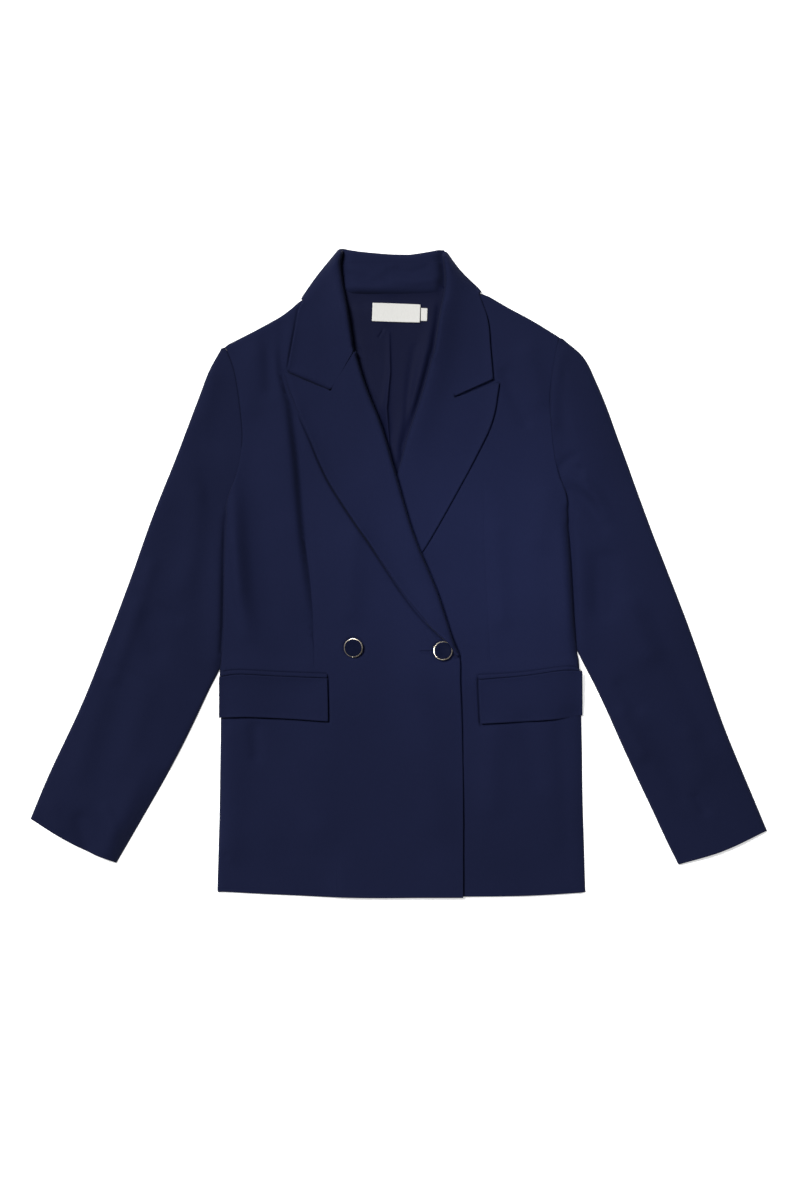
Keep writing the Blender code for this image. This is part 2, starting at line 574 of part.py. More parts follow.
def build_sleeve(name, side):
    """Upper and under sleeve: a flattened tube whose inner edge goes a little way under the body."""
    sign = side["sign"]
    armhole = [(out + SEAM_GAP, up) for out, up in side["armhole"]]
    tucked = [(float(edge_out(side, up)) - TUCK_DEPTH, up) for up in (330, 370, 410, 440)]
    outer = bend(placed(side["sleeve_outer"], sign))
    inner = bend(placed(side["sleeve_inner"] + tucked + armhole[:1], sign))
    body_side = chain([(inner, SLEEVE_UNDERARM_ROW / SLEEVE_ROWS), (bend(placed(armhole, sign)), 1.0)])
    cuff, tip = (bend(placed(row, sign)) for row in (side["cuff"], [side["sleeve_outer"][-1], armhole[-1]]))
    upward = np.linspace(0.0, 1.0, SLEEVE_ROWS + 1)
    upper = Patch(cuff, tip, outer, body_side, eased(7, 0.4), upward)
    cloth("sleeve_" + name + "_upper", upper.x, upper.up, sleeve_height(upper), SLEEVE_CLOTH, CLOTH)
    under = Patch(cuff, tip, outer, body_side, eased(4, 0.3), upward)
    flat = np.zeros_like(under.x)
    cloth("sleeve_" + name + "_under", under.x, under.up, flat, UNDER_SLEEVE_CLOTH, CLOTH, facing_up=False)


def build_pocket(name, side, front):
    """A jetted pocket: the narrow welt, and below it the flap that hangs from the pocket mouth."""
    sign = side["sign"]
    mouth = [(out, up + SEAM_GAP) for out, up in side["flap_top"]]
    strips = (("welt_", side["welt_top"], mouth, 2), ("flap_", side["flap_top"], side["flap_bottom"], 5))
    for kind, top, bottom, rows in strips:
        ends = [bend(placed([bottom[i], top[i]], sign)) for i in (0, -1)]
        edges = bend(placed(bottom, sign)), bend(placed(top, sign))
        patch = Patch(*edges, *ends, eased(10, 0.3), eased(rows, 0.0))
        height = front.under(patch.x, patch.up) + LAYER_GAP + TRIM_CLOTH
        cloth(kind + name, patch.x, patch.up, height, TRIM_CLOTH, CLOTH)


def build_button(name, side, over_front):
    """A metal cup with a dark face set into it, on the right front, which covers both button places."""
    x, up = side["sign"] * side["button"][0], side["button"][1]
    around = np.linspace(0, 2 * math.pi, 16, endpoint=False)
    rim_x, rim_up = x + BUTTON_RADIUS * np.cos(around), up + BUTTON_RADIUS * np.sin(around)
    foot = over_front.height(rim_x, rim_up).max() + LAYER_GAP
    rim, floor = BUTTON_RADIUS - RIM_WIDTH, 1.0
    cup = [(0, floor), (rim, floor), (rim, BUTTON_HEIGHT - 0.4), (rim + 0.35, BUTTON_HEIGHT),
           (BUTTON_RADIUS - 0.35, BUTTON_HEIGHT - 0.1), (BUTTON_RADIUS, BUTTON_HEIGHT - 0.7),
           (BUTTON_RADIUS - 0.4, 0.6), (BUTTON_RADIUS - 1.4, 0.0), (0, 0.0)]
    turned("button_" + name + "_cup", cup, (x, up, foot), CUP_METAL)
    edge = rim - 0.3
    face = [(0, BUTTON_HEIGHT - 0.4), (edge * 0.7, BUTTON_HEIGHT - 0.5), (edge - 0.4, BUTTON_HEIGHT - 0.8),
            (edge, BUTTON_HEIGHT - 1.2), (edge, floor + 0.3), (0, floor + 0.3)]
    turned("button_" + name + "_face", face, (x, up, foot), BUTTON_FACE)


for existing in list(bpy.data.objects):
    bpy.data.objects.remove(existing)
blazer = bpy.data.collections.new("blazer")
bpy.context.scene.collection.children.link(blazer)

back_halves = {side_name: build_back(side_name, side_sizes) for side_name, side_sizes in SIDES.items()}
fronts = {}
for side_name, side_sizes in SIDES.items():
    fronts[side_name] = build_front(side_name, side_sizes, back_halves)
    build_lapel(side_name, side_sizes, fronts[side_name])
    build_sleeve(side_name, side_sizes)
    build_pocket(side_name, side_sizes, fronts[side_name])
for side_name, side_sizes in SIDES.items():
    build_button(side_name, side_sizes, fronts["right"])
build_collar(fronts)
build_stand()
build_label(build_lining(back_halves))
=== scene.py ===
import math

import bmesh
import bpy
import numpy as np
from mathutils import Matrix, Vector, noise
from mathutils.bvhtree import BVHTree
from mathutils.geometry import delaunay_2d_cdt
from mathutils.kdtree import KDTree


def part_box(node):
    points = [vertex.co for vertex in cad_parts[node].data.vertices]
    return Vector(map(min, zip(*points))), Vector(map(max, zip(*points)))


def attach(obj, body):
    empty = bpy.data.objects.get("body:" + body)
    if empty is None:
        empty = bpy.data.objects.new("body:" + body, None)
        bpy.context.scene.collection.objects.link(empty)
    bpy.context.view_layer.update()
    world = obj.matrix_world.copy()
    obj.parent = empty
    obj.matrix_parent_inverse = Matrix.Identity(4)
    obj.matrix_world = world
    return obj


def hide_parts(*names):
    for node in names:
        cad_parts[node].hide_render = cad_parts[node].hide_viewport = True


# Double-breasted blazer laid flat. Places are drafted as (x, up) in millimetres:
# x from the centre line towards the wearer's left, up from the hem towards the collar.

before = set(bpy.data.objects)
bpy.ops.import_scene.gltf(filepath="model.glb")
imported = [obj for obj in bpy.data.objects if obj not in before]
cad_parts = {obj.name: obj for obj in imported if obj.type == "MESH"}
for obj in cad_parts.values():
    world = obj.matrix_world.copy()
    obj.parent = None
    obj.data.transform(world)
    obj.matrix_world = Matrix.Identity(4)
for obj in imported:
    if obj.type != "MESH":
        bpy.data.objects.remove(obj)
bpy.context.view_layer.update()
mm = 0.001
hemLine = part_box("front_right")[0].y / mm
print("frame loaded:", len(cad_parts), "nodes")


# reading the solids

def meshOf(node):
    made = bmesh.new()
    made.from_mesh(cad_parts[node].data)
    bmesh.ops.remove_doubles(made, verts=made.verts, dist=0.002 * mm)
    made.verts.index_update()
    made.normal_update()
    return made


def outlineOf(node, seed, faceUp=True):
    # edge of the face that looks up (or down) around the seed place, as one loop of (x, up)
    solid = meshOf(node)
    side = 1 if faceUp else -1
    looking = {f for f in solid.faces if f.normal.z * side > 0.5}
    tree = BVHTree.FromBMesh(solid)
    solid.faces.ensure_lookup_table()
    above = Vector((seed[0] * mm, (seed[1] + hemLine) * mm, side))
    first = solid.faces[tree.ray_cast(above, Vector((0, 0, -side)))[2]]
    found, queue = {first}, [first]
    while queue:
        for meshEdge in queue.pop().edges:
            for other in meshEdge.link_faces:
                if other in looking and other not in found:
                    found.add(other)
                    queue.append(other)
    follow = {}
    for f in found:
        for loop in f.loops:
            if not any(other in found for other in loop.edge.link_faces if other is not f):
                follow[loop.vert] = loop.link_loop_next.vert
    loops = []
    while follow:
        start = min(follow, key=lambda vert: vert.index)     # the same each run
        chain, here = [start], follow.pop(start)
        while here is not start and here in follow:
            chain.append(here)
            here = follow.pop(here)
        loops.append(chain)
    longest = max(loops, key=lambda c: sum((a.co - b.co).length for a, b in zip(c, c[1:])))
    points = np.array([(v.co.x / mm, v.co.y / mm - hemLine) for v in longest])
    solid.free()
    area = np.sum(points[:, 0] * np.roll(points[:, 1], -1) - points[:, 1] * np.roll(points[:, 0], -1))
    return points if area > 0 else points[::-1]


def curveThrough(points, spacing):
    # smooth run through the points, both ends kept, the last one left off
    if len(points) == 2:
        count = max(1, int(round(np.linalg.norm(points[1] - points[0]) / spacing)))
        return points[0] + np.arange(count)[:, None] / count * (points[1] - points[0])
    gaps = np.linalg.norm(np.diff(points, axis=0), axis=1)
    times = np.concatenate([[0], np.cumsum(np.sqrt(gaps))])
    slopes = np.empty_like(points)
    for i in range(1, len(points) - 1):
        back, ahead = times[i] - times[i - 1], times[i + 1] - times[i]
        slopes[i] = ((points[i + 1] - points[i]) / ahead * back
                     + (points[i] - points[i - 1]) / back * ahead) / (back + ahead)
    slopes[0] = (points[1] - points[0]) / (times[1] - times[0])
    slopes[-1] = (points[-1] - points[-2]) / (times[-1] - times[-2])
    run = []
    for i, gap in enumerate(gaps):
        count = max(1, int(round(gap / spacing)))
        s = (np.arange(count) / count)[:, None]
        step = times[i + 1] - times[i]
        run.append((2 * s**3 - 3 * s**2 + 1) * points[i] + (s**3 - 2 * s**2 + s) * step * slopes[i]
                   + (3 * s**2 - 2 * s**3) * points[i + 1] + (s**3 - s**2) * step * slopes[i + 1])
    return np.concatenate(run)


def smoothOutline(points, spacing, sharp=24):
    # corners stay, and the runs between them become smooth curves
    ahead = np.roll(points, -1, axis=0) - points
    behind = np.roll(ahead, 1, axis=0)
    turn = np.degrees(np.abs(np.arctan2(behind[:, 0] * ahead[:, 1] - behind[:, 1] * ahead[:, 0],
                                        np.sum(behind * ahead, axis=1))))
    corners = np.flatnonzero(turn > sharp)
    if len(corners) == 0:
        corners = np.array([0])
    run = []
    for i, start in enumerate(corners):
        end = corners[(i + 1) % len(corners)]
        count = (end - start) % len(points) or len(points)
        run.append(curveThrough(points[(start + np.arange(count + 1)) % len(points)], spacing))
    return np.concatenate(run)


def blurred(field, mask, cells):
    reach = int(cells * 3) + 1
    kernel = np.exp(-0.5 * (np.arange(-reach, reach + 1) / cells) ** 2)
    weighted, weight = np.where(mask, field, 0.0), mask.astype(float)
    for axis in (0, 1):
        weighted = np.apply_along_axis(lambda row: np.convolve(row, kernel, "same"), axis, weighted)
        weight = np.apply_along_axis(lambda row: np.convolve(row, kernel, "same"), axis, weight)
    return weighted / np.maximum(weight, 1e-9)


heightMaps = {}


def heightOf(nodes, fromBelow, blur=8.0, cell=3.0):
    # smooth height of the upper (or lower) face of one solid, or of several together, over x and up
    key = (nodes, fromBelow, blur)
    if key not in heightMaps:
        names = (nodes,) if isinstance(nodes, str) else nodes
        boxes = [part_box(name) for name in names]
        low = [min(box[0][k] for box in boxes) / mm - blur * 3 for k in (0, 1)]
        high = [max(box[1][k] for box in boxes) / mm + blur * 3 + cell for k in (0, 1)]
        xs, ups = np.arange(low[0], high[0], cell), np.arange(low[1] - hemLine, high[1] - hemLine, cell)
        side = -1 if fromBelow else 1
        field, mask = np.full((len(ups), len(xs)), -99.0), np.zeros((len(ups), len(xs)), bool)
        for name in names:
            solid = meshOf(name)
            tree = BVHTree.FromBMesh(solid)
            solid.free()
            for i, up in enumerate(ups):
                for j, x in enumerate(xs):
                    hit = tree.ray_cast(Vector((x * mm, (up + hemLine) * mm, side)), Vector((0, 0, -side)))[0]
                    if hit is not None:
                        field[i, j], mask[i, j] = max(hit.z / mm, field[i, j]), True
        heightMaps[key] = (xs, ups, blurred(field, mask, blur / cell))
    xs, ups, field = heightMaps[key]

    def height(x, up):
        i = np.clip((up - ups[0]) / cell, 0, len(ups) - 1.001)
        j = np.clip((x - xs[0]) / cell, 0, len(xs) - 1.001)
        row, column = i.astype(int), j.astype(int)
        s, t = i - row, j - column
        return ((1 - s) * (1 - t) * field[row, column] + (1 - s) * t * field[row, column + 1]
                + s * (1 - t) * field[row + 1, column] + s * t * field[row + 1, column + 1])
    return height


# folds and seams

farAway = 1e9


def distanceToLine(line, x, up):
    # distance from a line of points, the side of it, and the share of its length gone by
    line = np.array(line, float)
    best = np.full(np.shape(x), farAway)
    side, along = np.zeros(np.shape(x)), np.zeros(np.shape(x))
    lengths = np.concatenate([[0], np.cumsum(np.linalg.norm(np.diff(line, axis=0), axis=1))])
    for i, (start, end) in enumerate(zip(line[:-1], line[1:])):
        run = end - start
        share = np.clip(((x - start[0]) * run[0] + (up - start[1]) * run[1]) / (run @ run), 0, 1)
        away = np.hypot(x - start[0] - share * run[0], up - start[1] - share * run[1])
        across = (x - start[0]) * run[1] - (up - start[1]) * run[0]
        nearer = away < best
        best = np.where(nearer, away, best)
        side = np.where(nearer, np.sign(across), side)
        along = np.where(nearer, (lengths[i] + share * (lengths[i + 1] - lengths[i])) / lengths[-1], along)
    return best, side, along


def foldsAt(folds, x, up):
    # each fold: its line, its width or (left, right) widths, and its height or heights along the line;
    # a trough's height is negative
    total = np.zeros(np.shape(x))
    for line, width, height in folds:
        away, side, along = distanceToLine(line, x, up)
        if isinstance(height, tuple):
            height = np.interp(along, np.linspace(0, 1, len(height)), height)
        wide = np.where(side > 0, width[0], width[1]) if isinstance(width, tuple) else width
        total += height * np.exp(-(away / wide) ** 2)
    return total


waverSize, rippleSize = 55, 62      # from one wave to the next, along an outline and over the cloth


def clothNoise(x, up, seed, size, amount):
    return np.array([noise.noise(Vector((a / size, b / size, seed))) for a, b in zip(x, up)]) * amount


# cutting and sewing a panel

def insideLoop(x, up, loop):
    inside = np.zeros(len(x), bool)
    ends = np.roll(loop, -1, axis=0)
    for (ax, au), (bx, bu) in zip(loop, ends):
        if au == bu:
            continue
        crosses = (au > up) != (bu > up)
        inside ^= crosses & (x < (bx - ax) * (up - au) / (bu - au) + ax)
    return inside


def treeOf(loop):
    tree = KDTree(len(loop))
    for i, (x, up) in enumerate(loop):
        tree.insert((x, up, 0), i)
    tree.balance()
    return tree


def nearestOnLoop(points, loop, tree):
    # exact distance from the outline, and the nearest outline point's number
    index = np.array([tree.find((x, up, 0))[1] for x, up in points])
    best = np.full(len(points), farAway)
    for shift in (-1, 0):
        start = loop[(index + shift) % len(loop)]
        run = loop[(index + shift + 1) % len(loop)] - start
        share = np.sum((points - start) * run, axis=1) / np.maximum(np.sum(run * run, axis=1), 1e-9)
        away = np.linalg.norm(points - start - np.clip(share, 0, 1)[:, None] * run, axis=1)
        best = np.minimum(best, away)
    return best, index


def keptInside(points, loop, tree, inset):
    # those of the points that lie well inside the outline
    away, _ = nearestOnLoop(points, loop, tree)
    return points[(away > inset) & insideLoop(points[:, 0], points[:, 1], loop)]


def acrossFrom(run):
    # unit steps to the right of each step of a line
    run = run / np.maximum(np.linalg.norm(run, axis=1), 1e-9)[:, None]
    return np.column_stack([run[:, 1], -run[:, 0]])


def outwardOf(loop):
    return acrossFrom(np.roll(loop, -1, axis=0) - np.roll(loop, 1, axis=0))


def evened(values, passes):
    for _ in range(passes):
        values = (np.roll(values, 1) + 2 * values + np.roll(values, -1)) / 4
    return values


floorGap = 0.15     # how far an edge stays above the floor
layerGap = 0.1      # and above the layer that it comes down to


def heightUnder(panel):
    # the height that a panel's cloth lies at, from its own solid or from those named
    return heightOf(panel.get("lies", panel["node"]), not panel.get("faceUp", True), panel.get("blur", 8.0))


def edge(facing, wide, grow=0.0, drop=None, reach="floor", above=-99, below=999, within=0.7):
    # an edge that faces one way: how wide it rounds over, how far it moves out, and the drop or the layer
    # that it comes down to
    return np.array(facing, float) / np.hypot(*facing), wide, grow, drop, reach, above, below, within


def edgesOf(panel, loop, height):
    # rounding, low point and outward growth of the edge at each outline point
    outward = outwardOf(loop)
    turned, radius = np.zeros(len(loop)), np.full(len(loop), panel["edgeRound"])
    loose = np.ones(len(loop))      # a sewn edge doesn't waver
    low, grow = height(loop[:, 0], loop[:, 1]) - panel["edgeRound"], np.zeros(len(loop))
    for facing, wide, wider, drop, reach, above, below, within in panel.get("edges", ()):
        here = (outward @ facing > within) & (loop[:, 1] >= above) & (loop[:, 1] <= below)
        turned[here], radius[here], grow[here] = 1.0, wide, wider
        if drop is not None:
            depth = height(loop[:, 0], loop[:, 1]) - drop
            loose[here] = 0.0
        elif reach == "floor":
            depth = np.full(len(loop), floorGap)
        else:
            depth = heightOf(reach, True)(loop[:, 0], loop[:, 1]) + layerGap
        low[here] = depth[here]
    return evened(turned, 2), evened(radius, 2), evened(low, 2), evened(grow, 2), evened(loose, 3), outward


pressedEdges = {}
coverStep = 2.0     # between the points of such an edge


def pressedEdge(cover):
    # outline of a piece that lies on top, with its lookup tree
    key = (cover["node"], cover["seed"])
    if key not in pressedEdges:
        loop = smoothOutline(outlineOf(*key), coverStep)
        pressedEdges[key] = loop, treeOf(loop)
    return pressedEdges[key]


def pressedDepth(cover, x, up):
    # the cloth dips along the edges of whatever lies on it; depths are (up, depth) pairs
    loop, tree = pressedEdge(cover)
    away, _ = nearestOnLoop(np.column_stack([x, up]), loop, tree)
    ups, depths = zip(*cover["depths"])
    return np.interp(up, ups, depths) * np.exp(-(away / cover["width"]) ** 2)


hollowRim = 0.4                         # how far outside a button its hollow in the cloth is deepest
hollowDepth, hollowWidth = 1.5, 1.3


def hollowOf(node):
    low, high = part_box(node)
    middle = [(low[k] + high[k]) / 2 / mm for k in (0, 1)]
    return middle[0], middle[1] - hemLine, (high.x - low.x) / 2 / mm + hollowRim


# rows of points in a panel: how far in from its outline, and how far off a seam, a button's rim or a cover's edge
plainRings = (0.2, 0.5, 0.95, 1.8, 3.2)
seamOffsets = (-2.6, -1.4, -0.6, 0, 0.6, 1.4, 2.6)
hollowOffsets = (-1.6, -0.7, 0, 0.7, 1.6, 3.0)
coverOffsets = (-2.2, -1.0, 0, 0.5, 1.0, 1.5, 2.1, 2.8, 3.8)
seamInset, coverInset = 4.4, 4.0        # such a row ends this far inside the outline
outlineStep = 2.4
hollowSteps = 48
ringTrust = 0.93                        # a ring's point nearer to the outline than this share is left out
rowShare = 0.866                        # gap between the grid's rows, as a share of its spacing
clearBand = 3.0                         # the grid keeps this far from hollows and covers
outlineShare, seamShare, bandShare = 0.45, 0.4, 0.3     # and this share of its spacing besides
hollowMiddle = 0.7                      # middle of a hollow's rows, outside its rim


def rowsIn(panel, loop, tree):
    # extra rows of points where the cloth bends sharply
    rows = []
    for seam in panel.get("seams", ()):
        path = curveThrough(np.array(seam[0], float), outlineStep)
        across = acrossFrom(np.gradient(path, axis=0))
        rows += [keptInside(path + across * offset, loop, tree, seamInset) for offset in seamOffsets]
    for node in panel.get("hollows", ()):
        middleX, middleUp, rim = hollowOf(node)
        turn = np.linspace(0, 2 * np.pi, hollowSteps + 1)[:-1]
        for offset in hollowOffsets:
            rows.append(np.column_stack([middleX + (rim + offset) * np.cos(turn),
                                         middleUp + (rim + offset) * np.sin(turn)]))
    for cover in panel.get("under", ()):
        lying, _ = pressedEdge(cover)
        outward = outwardOf(lying)
        rows += [keptInside(lying + outward * offset, loop, tree, coverInset) for offset in coverOffsets]
    return rows


def gridIn(panel, loop, tree, inset):
    # staggered points over the rest of the panel, clear of those rows
    step = panel["spacing"]
    xs = np.arange(loop[:, 0].min(), loop[:, 0].max() + step, step)
    ups = np.arange(loop[:, 1].min(), loop[:, 1].max() + step, step * rowShare)
    gridX, gridUp = np.meshgrid(xs, ups)
    gridX = gridX + (np.arange(len(ups)) % 2)[:, None] * step / 2
    grid = np.column_stack([gridX.ravel(), gridUp.ravel()])
    grid = keptInside(grid, loop, tree, inset + step * outlineShare)
    for seam in panel.get("seams", ()):
        away = distanceToLine(seam[0], grid[:, 0], grid[:, 1])[0]
        grid = grid[away > seamOffsets[-1] + step * seamShare]
    for node in panel.get("hollows", ()):
        middleX, middleUp, rim = hollowOf(node)
        away = np.abs(np.hypot(grid[:, 0] - middleX, grid[:, 1] - middleUp) - rim - hollowMiddle)
        grid = grid[away > clearBand + step * bandShare]
    for cover in panel.get("under", ()):
        grid = grid[nearestOnLoop(grid, *pressedEdge(cover))[0] > clearBand + step * bandShare]
    return grid


def cutPanel(panel):
    # mesh of a panel: (x, up) points, triangles, and the outline's data
    drafted = panel.get("outline")      # drafted counterclockwise, like those read from a solid
    if drafted is None:
        drafted = outlineOf(panel["node"], panel["seed"], panel.get("faceUp", True))
    loop = smoothOutline(np.array(drafted, float), panel.get("edgeStep", outlineStep))
    turned, radius, low, grow, loose, outward = edgesOf(panel, loop, heightUnder(panel))
    waver = clothNoise(loop[:, 0], loop[:, 1], panel.get("noiseSeed", 1.0) + 40, waverSize, panel.get("waver", 0.35))
    loop = loop + outward * (grow + waver * loose)[:, None]
    tree = treeOf(loop)
    rings = panel.get("rings", plainRings)
    points = [loop] + [keptInside(loop - outward * offset, loop, tree, offset * ringTrust) for offset in rings]
    points = np.concatenate(points + rowsIn(panel, loop, tree) + [gridIn(panel, loop, tree, rings[-1])])
    border = [(i, (i + 1) % len(loop)) for i in range(len(loop))]
    verts, _, faces, *_ = delaunay_2d_cdt([Vector(p) for p in points], border, [], 1, 1e-4)
    verts = np.array([(v.x, v.y) for v in verts])
    away, index = nearestOnLoop(verts, loop, tree)
    return verts, np.array(faces), away, turned[index], radius[index], low[index], loose[index]


underThick = 1.5                        # cloth of the backs and the under sleeves
restGap, restSoftness = 0.3, 0.6        # how near a fold may come to the layer below, and how softly it stops
thinnest, edgeCloth = 0.12, 0.15        # least thickness of the cloth, and of a turned edge
leastCloth, leastRadius = 0.1, 0.05     # least thickness where the floor lifts it, and least rounding
lowestPoint = 0.05                      # of any cloth, above the floor


def sewPanel(panel, folds=()):
    verts, faces, away, turned, radius, low, loose = cutPanel(panel)
    x, up = verts[:, 0], verts[:, 1]
    height = heightUnder(panel)(x, up) + panel.get("raise", 0.0)
    ripple = clothNoise(x, up, panel.get("noiseSeed", 1.0), rippleSize, panel.get("ripple", 0.9))
    folded = foldsAt(folds, x, up) + ripple
    for seam in panel.get("seams", ()):
        folded += foldsAt([seam], x, up)
    for distance, width, rise in panel.get("beads", ()):
        folded += rise * np.exp(-((away - distance) / width) ** 2) * loose
    for cover in panel.get("under", ()):
        folded -= pressedDepth(cover, x, up)
    for node in panel.get("hollows", ()):
        middleX, middleUp, rim = hollowOf(node)
        folded -= hollowDepth * np.exp(-((np.hypot(x - middleX, up - middleUp) - rim) / hollowWidth) ** 2)
    height = height + folded
    thick, rounding = panel["thick"], panel["edgeRound"]
    if "over" in panel:
        # a fold never sinks into the layer below
        lowest = heightOf(panel["over"], True)(x, up) + underThick + thick + restGap
        height = lowest + restSoftness * np.logaddexp(0, (height - lowest) / restSoftness)
    share = np.clip(away / np.maximum(radius, leastRadius), 0, 1)
    falling = 1 - np.sqrt(np.maximum(0, 1 - (1 - share) ** 2))
    if panel.get("faceUp", True):
        plainTop, plainBottom = height - rounding * falling, height - thick + rounding * falling
        turnedTop = height - np.maximum(height - low, 0) * falling
        turnedBottom = np.maximum(turnedTop - thick, np.minimum(low, turnedTop - edgeCloth))
        top = plainTop * (1 - turned) + turnedTop * turned
        bottom = np.minimum(plainBottom * (1 - turned) + turnedBottom * turned, top - thinnest)
    else:
        bottom = height + rounding * falling
        top = np.maximum(height + thick - rounding * falling, bottom + thinnest)
    bottom = np.maximum(bottom, lowestPoint)
    top = np.maximum(top, bottom + leastCloth)
    return closedShell(verts, faces, top, bottom)


def closedShell(verts, faces, top, bottom):
    # upper and lower faces from one cut, joined along the outline
    count = len(verts)
    a, b, c = (verts[faces[:, k]] for k in range(3))
    upward = (b - a)[:, 0] * (c - a)[:, 1] - (b - a)[:, 1] * (c - a)[:, 0] > 0
    faces = np.where(upward[:, None], faces, faces[:, ::-1])
    directed = {(f[i], f[(i + 1) % 3]): True for f in faces for i in range(3)}
    rim = [(p, q) for p, q in directed if (q, p) not in directed]
    points = np.concatenate([np.column_stack([verts, top]), np.column_stack([verts, bottom])])
    walls = [(p, p + count, q + count, q) for p, q in rim]
    return points, [tuple(f) for f in faces] + [tuple(f[::-1] + count) for f in faces] + walls


def addObject(name, data):
    made = bpy.data.objects.new(name, data)
    bpy.context.scene.collection.objects.link(made)
    return made


def makePiece(name, shells, material, node):
    # one object from one or more shells of (points, faces), in the place of a solid
    points, faces, start = [], [], 0
    for shellPoints, shellFaces in shells:
        points.append(np.asarray(shellPoints, float))
        faces += [tuple(int(i) + start for i in f) for f in shellFaces]
        start += len(shellPoints)
    points = (np.concatenate(points) + (0, hemLine, 0)) * mm
    mesh = bpy.data.meshes.new(name)
    mesh.from_pydata(points.tolist(), [], faces)
    mesh.validate()
    mesh.update()
    mesh.materials.append(material)
    mesh.shade_smooth()
    piece = addObject(name, mesh)
    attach(piece, "root")
    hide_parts(node)
    return piece


def laySheet(name, shells, material, part):
    piece = makePiece(name, shells, material, part["node"])
    print("sewn:", name, len(piece.data.polygons), "faces")


# finishes

def setInputs(node, values):
    # a fixed value, or a link from another node's socket
    for name, value in values.items():
        if isinstance(value, bpy.types.NodeSocket):
            node.id_data.links.new(value, node.inputs[name])
        else:
            node.inputs[name].default_value = value


def newNode(tree, kind, values):
    made = tree.nodes.new("ShaderNode" + kind)
    setInputs(made, values)
    return made


def newFinish(name):
    made = bpy.data.materials.new(name)
    made.use_nodes = True
    tree = made.node_tree
    return made, tree, tree.nodes["Principled BSDF"], newNode(tree, "TexCoord", {}).outputs["Object"]


def noiseNode(tree, place, scale, detail, stretch=(1, 1, 1)):
    mapping = newNode(tree, "Mapping", {"Vector": place, "Scale": stretch})
    values = {"Vector": mapping.outputs["Vector"], "Scale": scale, "Detail": detail}
    return newNode(tree, "TexNoise", values).outputs["Fac"]


def rampNode(tree, value, low, high, stops):
    made = newNode(tree, "ValToRGB", {"Fac": value})
    for element, place, colour in zip(made.color_ramp.elements, stops, (low, high)):
        element.position, element.color = place, (*colour, 1)
    return made.outputs["Color"]


def mathNode(tree, operation, first, second):
    made = newNode(tree, "Math", {0: first, 1: second})
    made.operation = operation
    return made.outputs["Value"]


def bumpNode(tree, shader, height, strength, distance):
    bump = newNode(tree, "Bump", {"Height": height, "Strength": strength, "Distance": distance})
    setInputs(shader, {"Normal": bump.outputs["Normal"]})


waveScale = 0.314       # makes the wave texture's ribs one pitch apart
weaveDepth = 0.00012    # metres


def twillHeight(tree, place, pitch, angle):
    # fine diagonal ribs of a twill, with the threads' own unevenness
    turn = newNode(tree, "Mapping", {"Vector": place, "Rotation": (0, 0, math.radians(angle))})
    values = {"Vector": turn.outputs["Vector"], "Scale": waveScale / pitch, "Distortion": 0.6, "Detail": 1.0}
    ribs = newNode(tree, "TexWave", values)
    return mixed(tree, ribs.outputs["Fac"], 0.6, noiseNode(tree, place, 1400.0, 2.0), 0.8)


def mixed(tree, first, firstShare, second, secondShare):
    return mathNode(tree, "ADD", mathNode(tree, "MULTIPLY", first, firstShare),
                    mathNode(tree, "MULTIPLY", second, secondShare))


clothLook = {
    "dark": (0.0056, 0.0082, 0.0310),
    "light": (0.0066, 0.0094, 0.0348),
    "roughness": 0.88,
    "specular": 0.12,
    "sheen": 0.05,
    "sheenTint": (0.30, 0.36, 0.62),
    "weavePitch": 0.0007,
    "bump": 0.25,
    "patches": 11.0,            # scale of the slow change of tone
    "threads": 900.0,           # scale of single threads
}


def clothFinish(name, look, shade=1.0, angle=35):
    made, tree, shader, place = newFinish(name)
    patches = noiseNode(tree, place, look["patches"], 4.0)
    threads = noiseNode(tree, place, look["threads"], 2.0, (1.0, 0.25, 1.0))
    low, high = (tuple(c * shade for c in look[tone]) for tone in ("dark", "light"))
    tone = rampNode(tree, mixed(tree, patches, 0.55, threads, 0.45), low, high, (0.35, 0.65))
    setInputs(shader, {"Base Color": tone, "Roughness": look["roughness"], "Specular IOR Level": look["specular"],
                       "Sheen Weight": look["sheen"], "Sheen Roughness": 0.45, "Sheen Tint": (*look["sheenTint"], 1)})
    bumpNode(tree, shader, twillHeight(tree, place, look["weavePitch"], angle), look["bump"], weaveDepth)
    return made


suiting = clothFinish("navySuiting", clothLook)
shadedSleeveSuiting = clothFinish("navySuitingShadedSleeves", clothLook, 0.92)    # painted shade: the sleeves get a darker copy of the same suiting, standing in for the light falling off over them

liningLook = dict(
    clothLook, dark=(0.0040, 0.0056, 0.0230), light=(0.0049, 0.0067, 0.0270), roughness=0.72, specular=0.08,
    sheen=0.03, weavePitch=0.0005, bump=0.15,
)
liningFinish = clothFinish("navyLining", liningLook, angle=-30)

labelLook = dict(
    clothLook, dark=(0.61, 0.605, 0.58), light=(0.67, 0.665, 0.64), roughness=0.55, specular=0.3,
    sheen=0.15, sheenTint=(0.9, 0.9, 0.85), weavePitch=0.0004, bump=0.3,
)
labelFinish = clothFinish("wovenLabel", labelLook, angle=0)

buttonLooks = {
    "cup": {"name": "paleBrass", "dark": (0.44, 0.38, 0.29), "light": (0.66, 0.60, 0.50), "stops": (0.35, 0.65),
            "clouds": 260.0, "metallic": 1.0, "specular": 0.5, "roughness": 0.25,
            "scratches": 900.0, "stretch": (1.0, 0.2, 1.0), "uneven": 0.12, "bump": (0.15, 0.00004)},
    "face": {"name": "darkButtonFace", "dark": (0.0042, 0.0058, 0.0182), "light": (0.0050, 0.0068, 0.0210),
             "stops": (0.3, 0.7), "clouds": 180.0, "metallic": 0.0, "specular": 0.03, "roughness": 0.12,
             "scratches": 700.0, "stretch": (1.0, 1.0, 1.0), "uneven": 0.15, "bump": (0.1, 0.00003)},
}


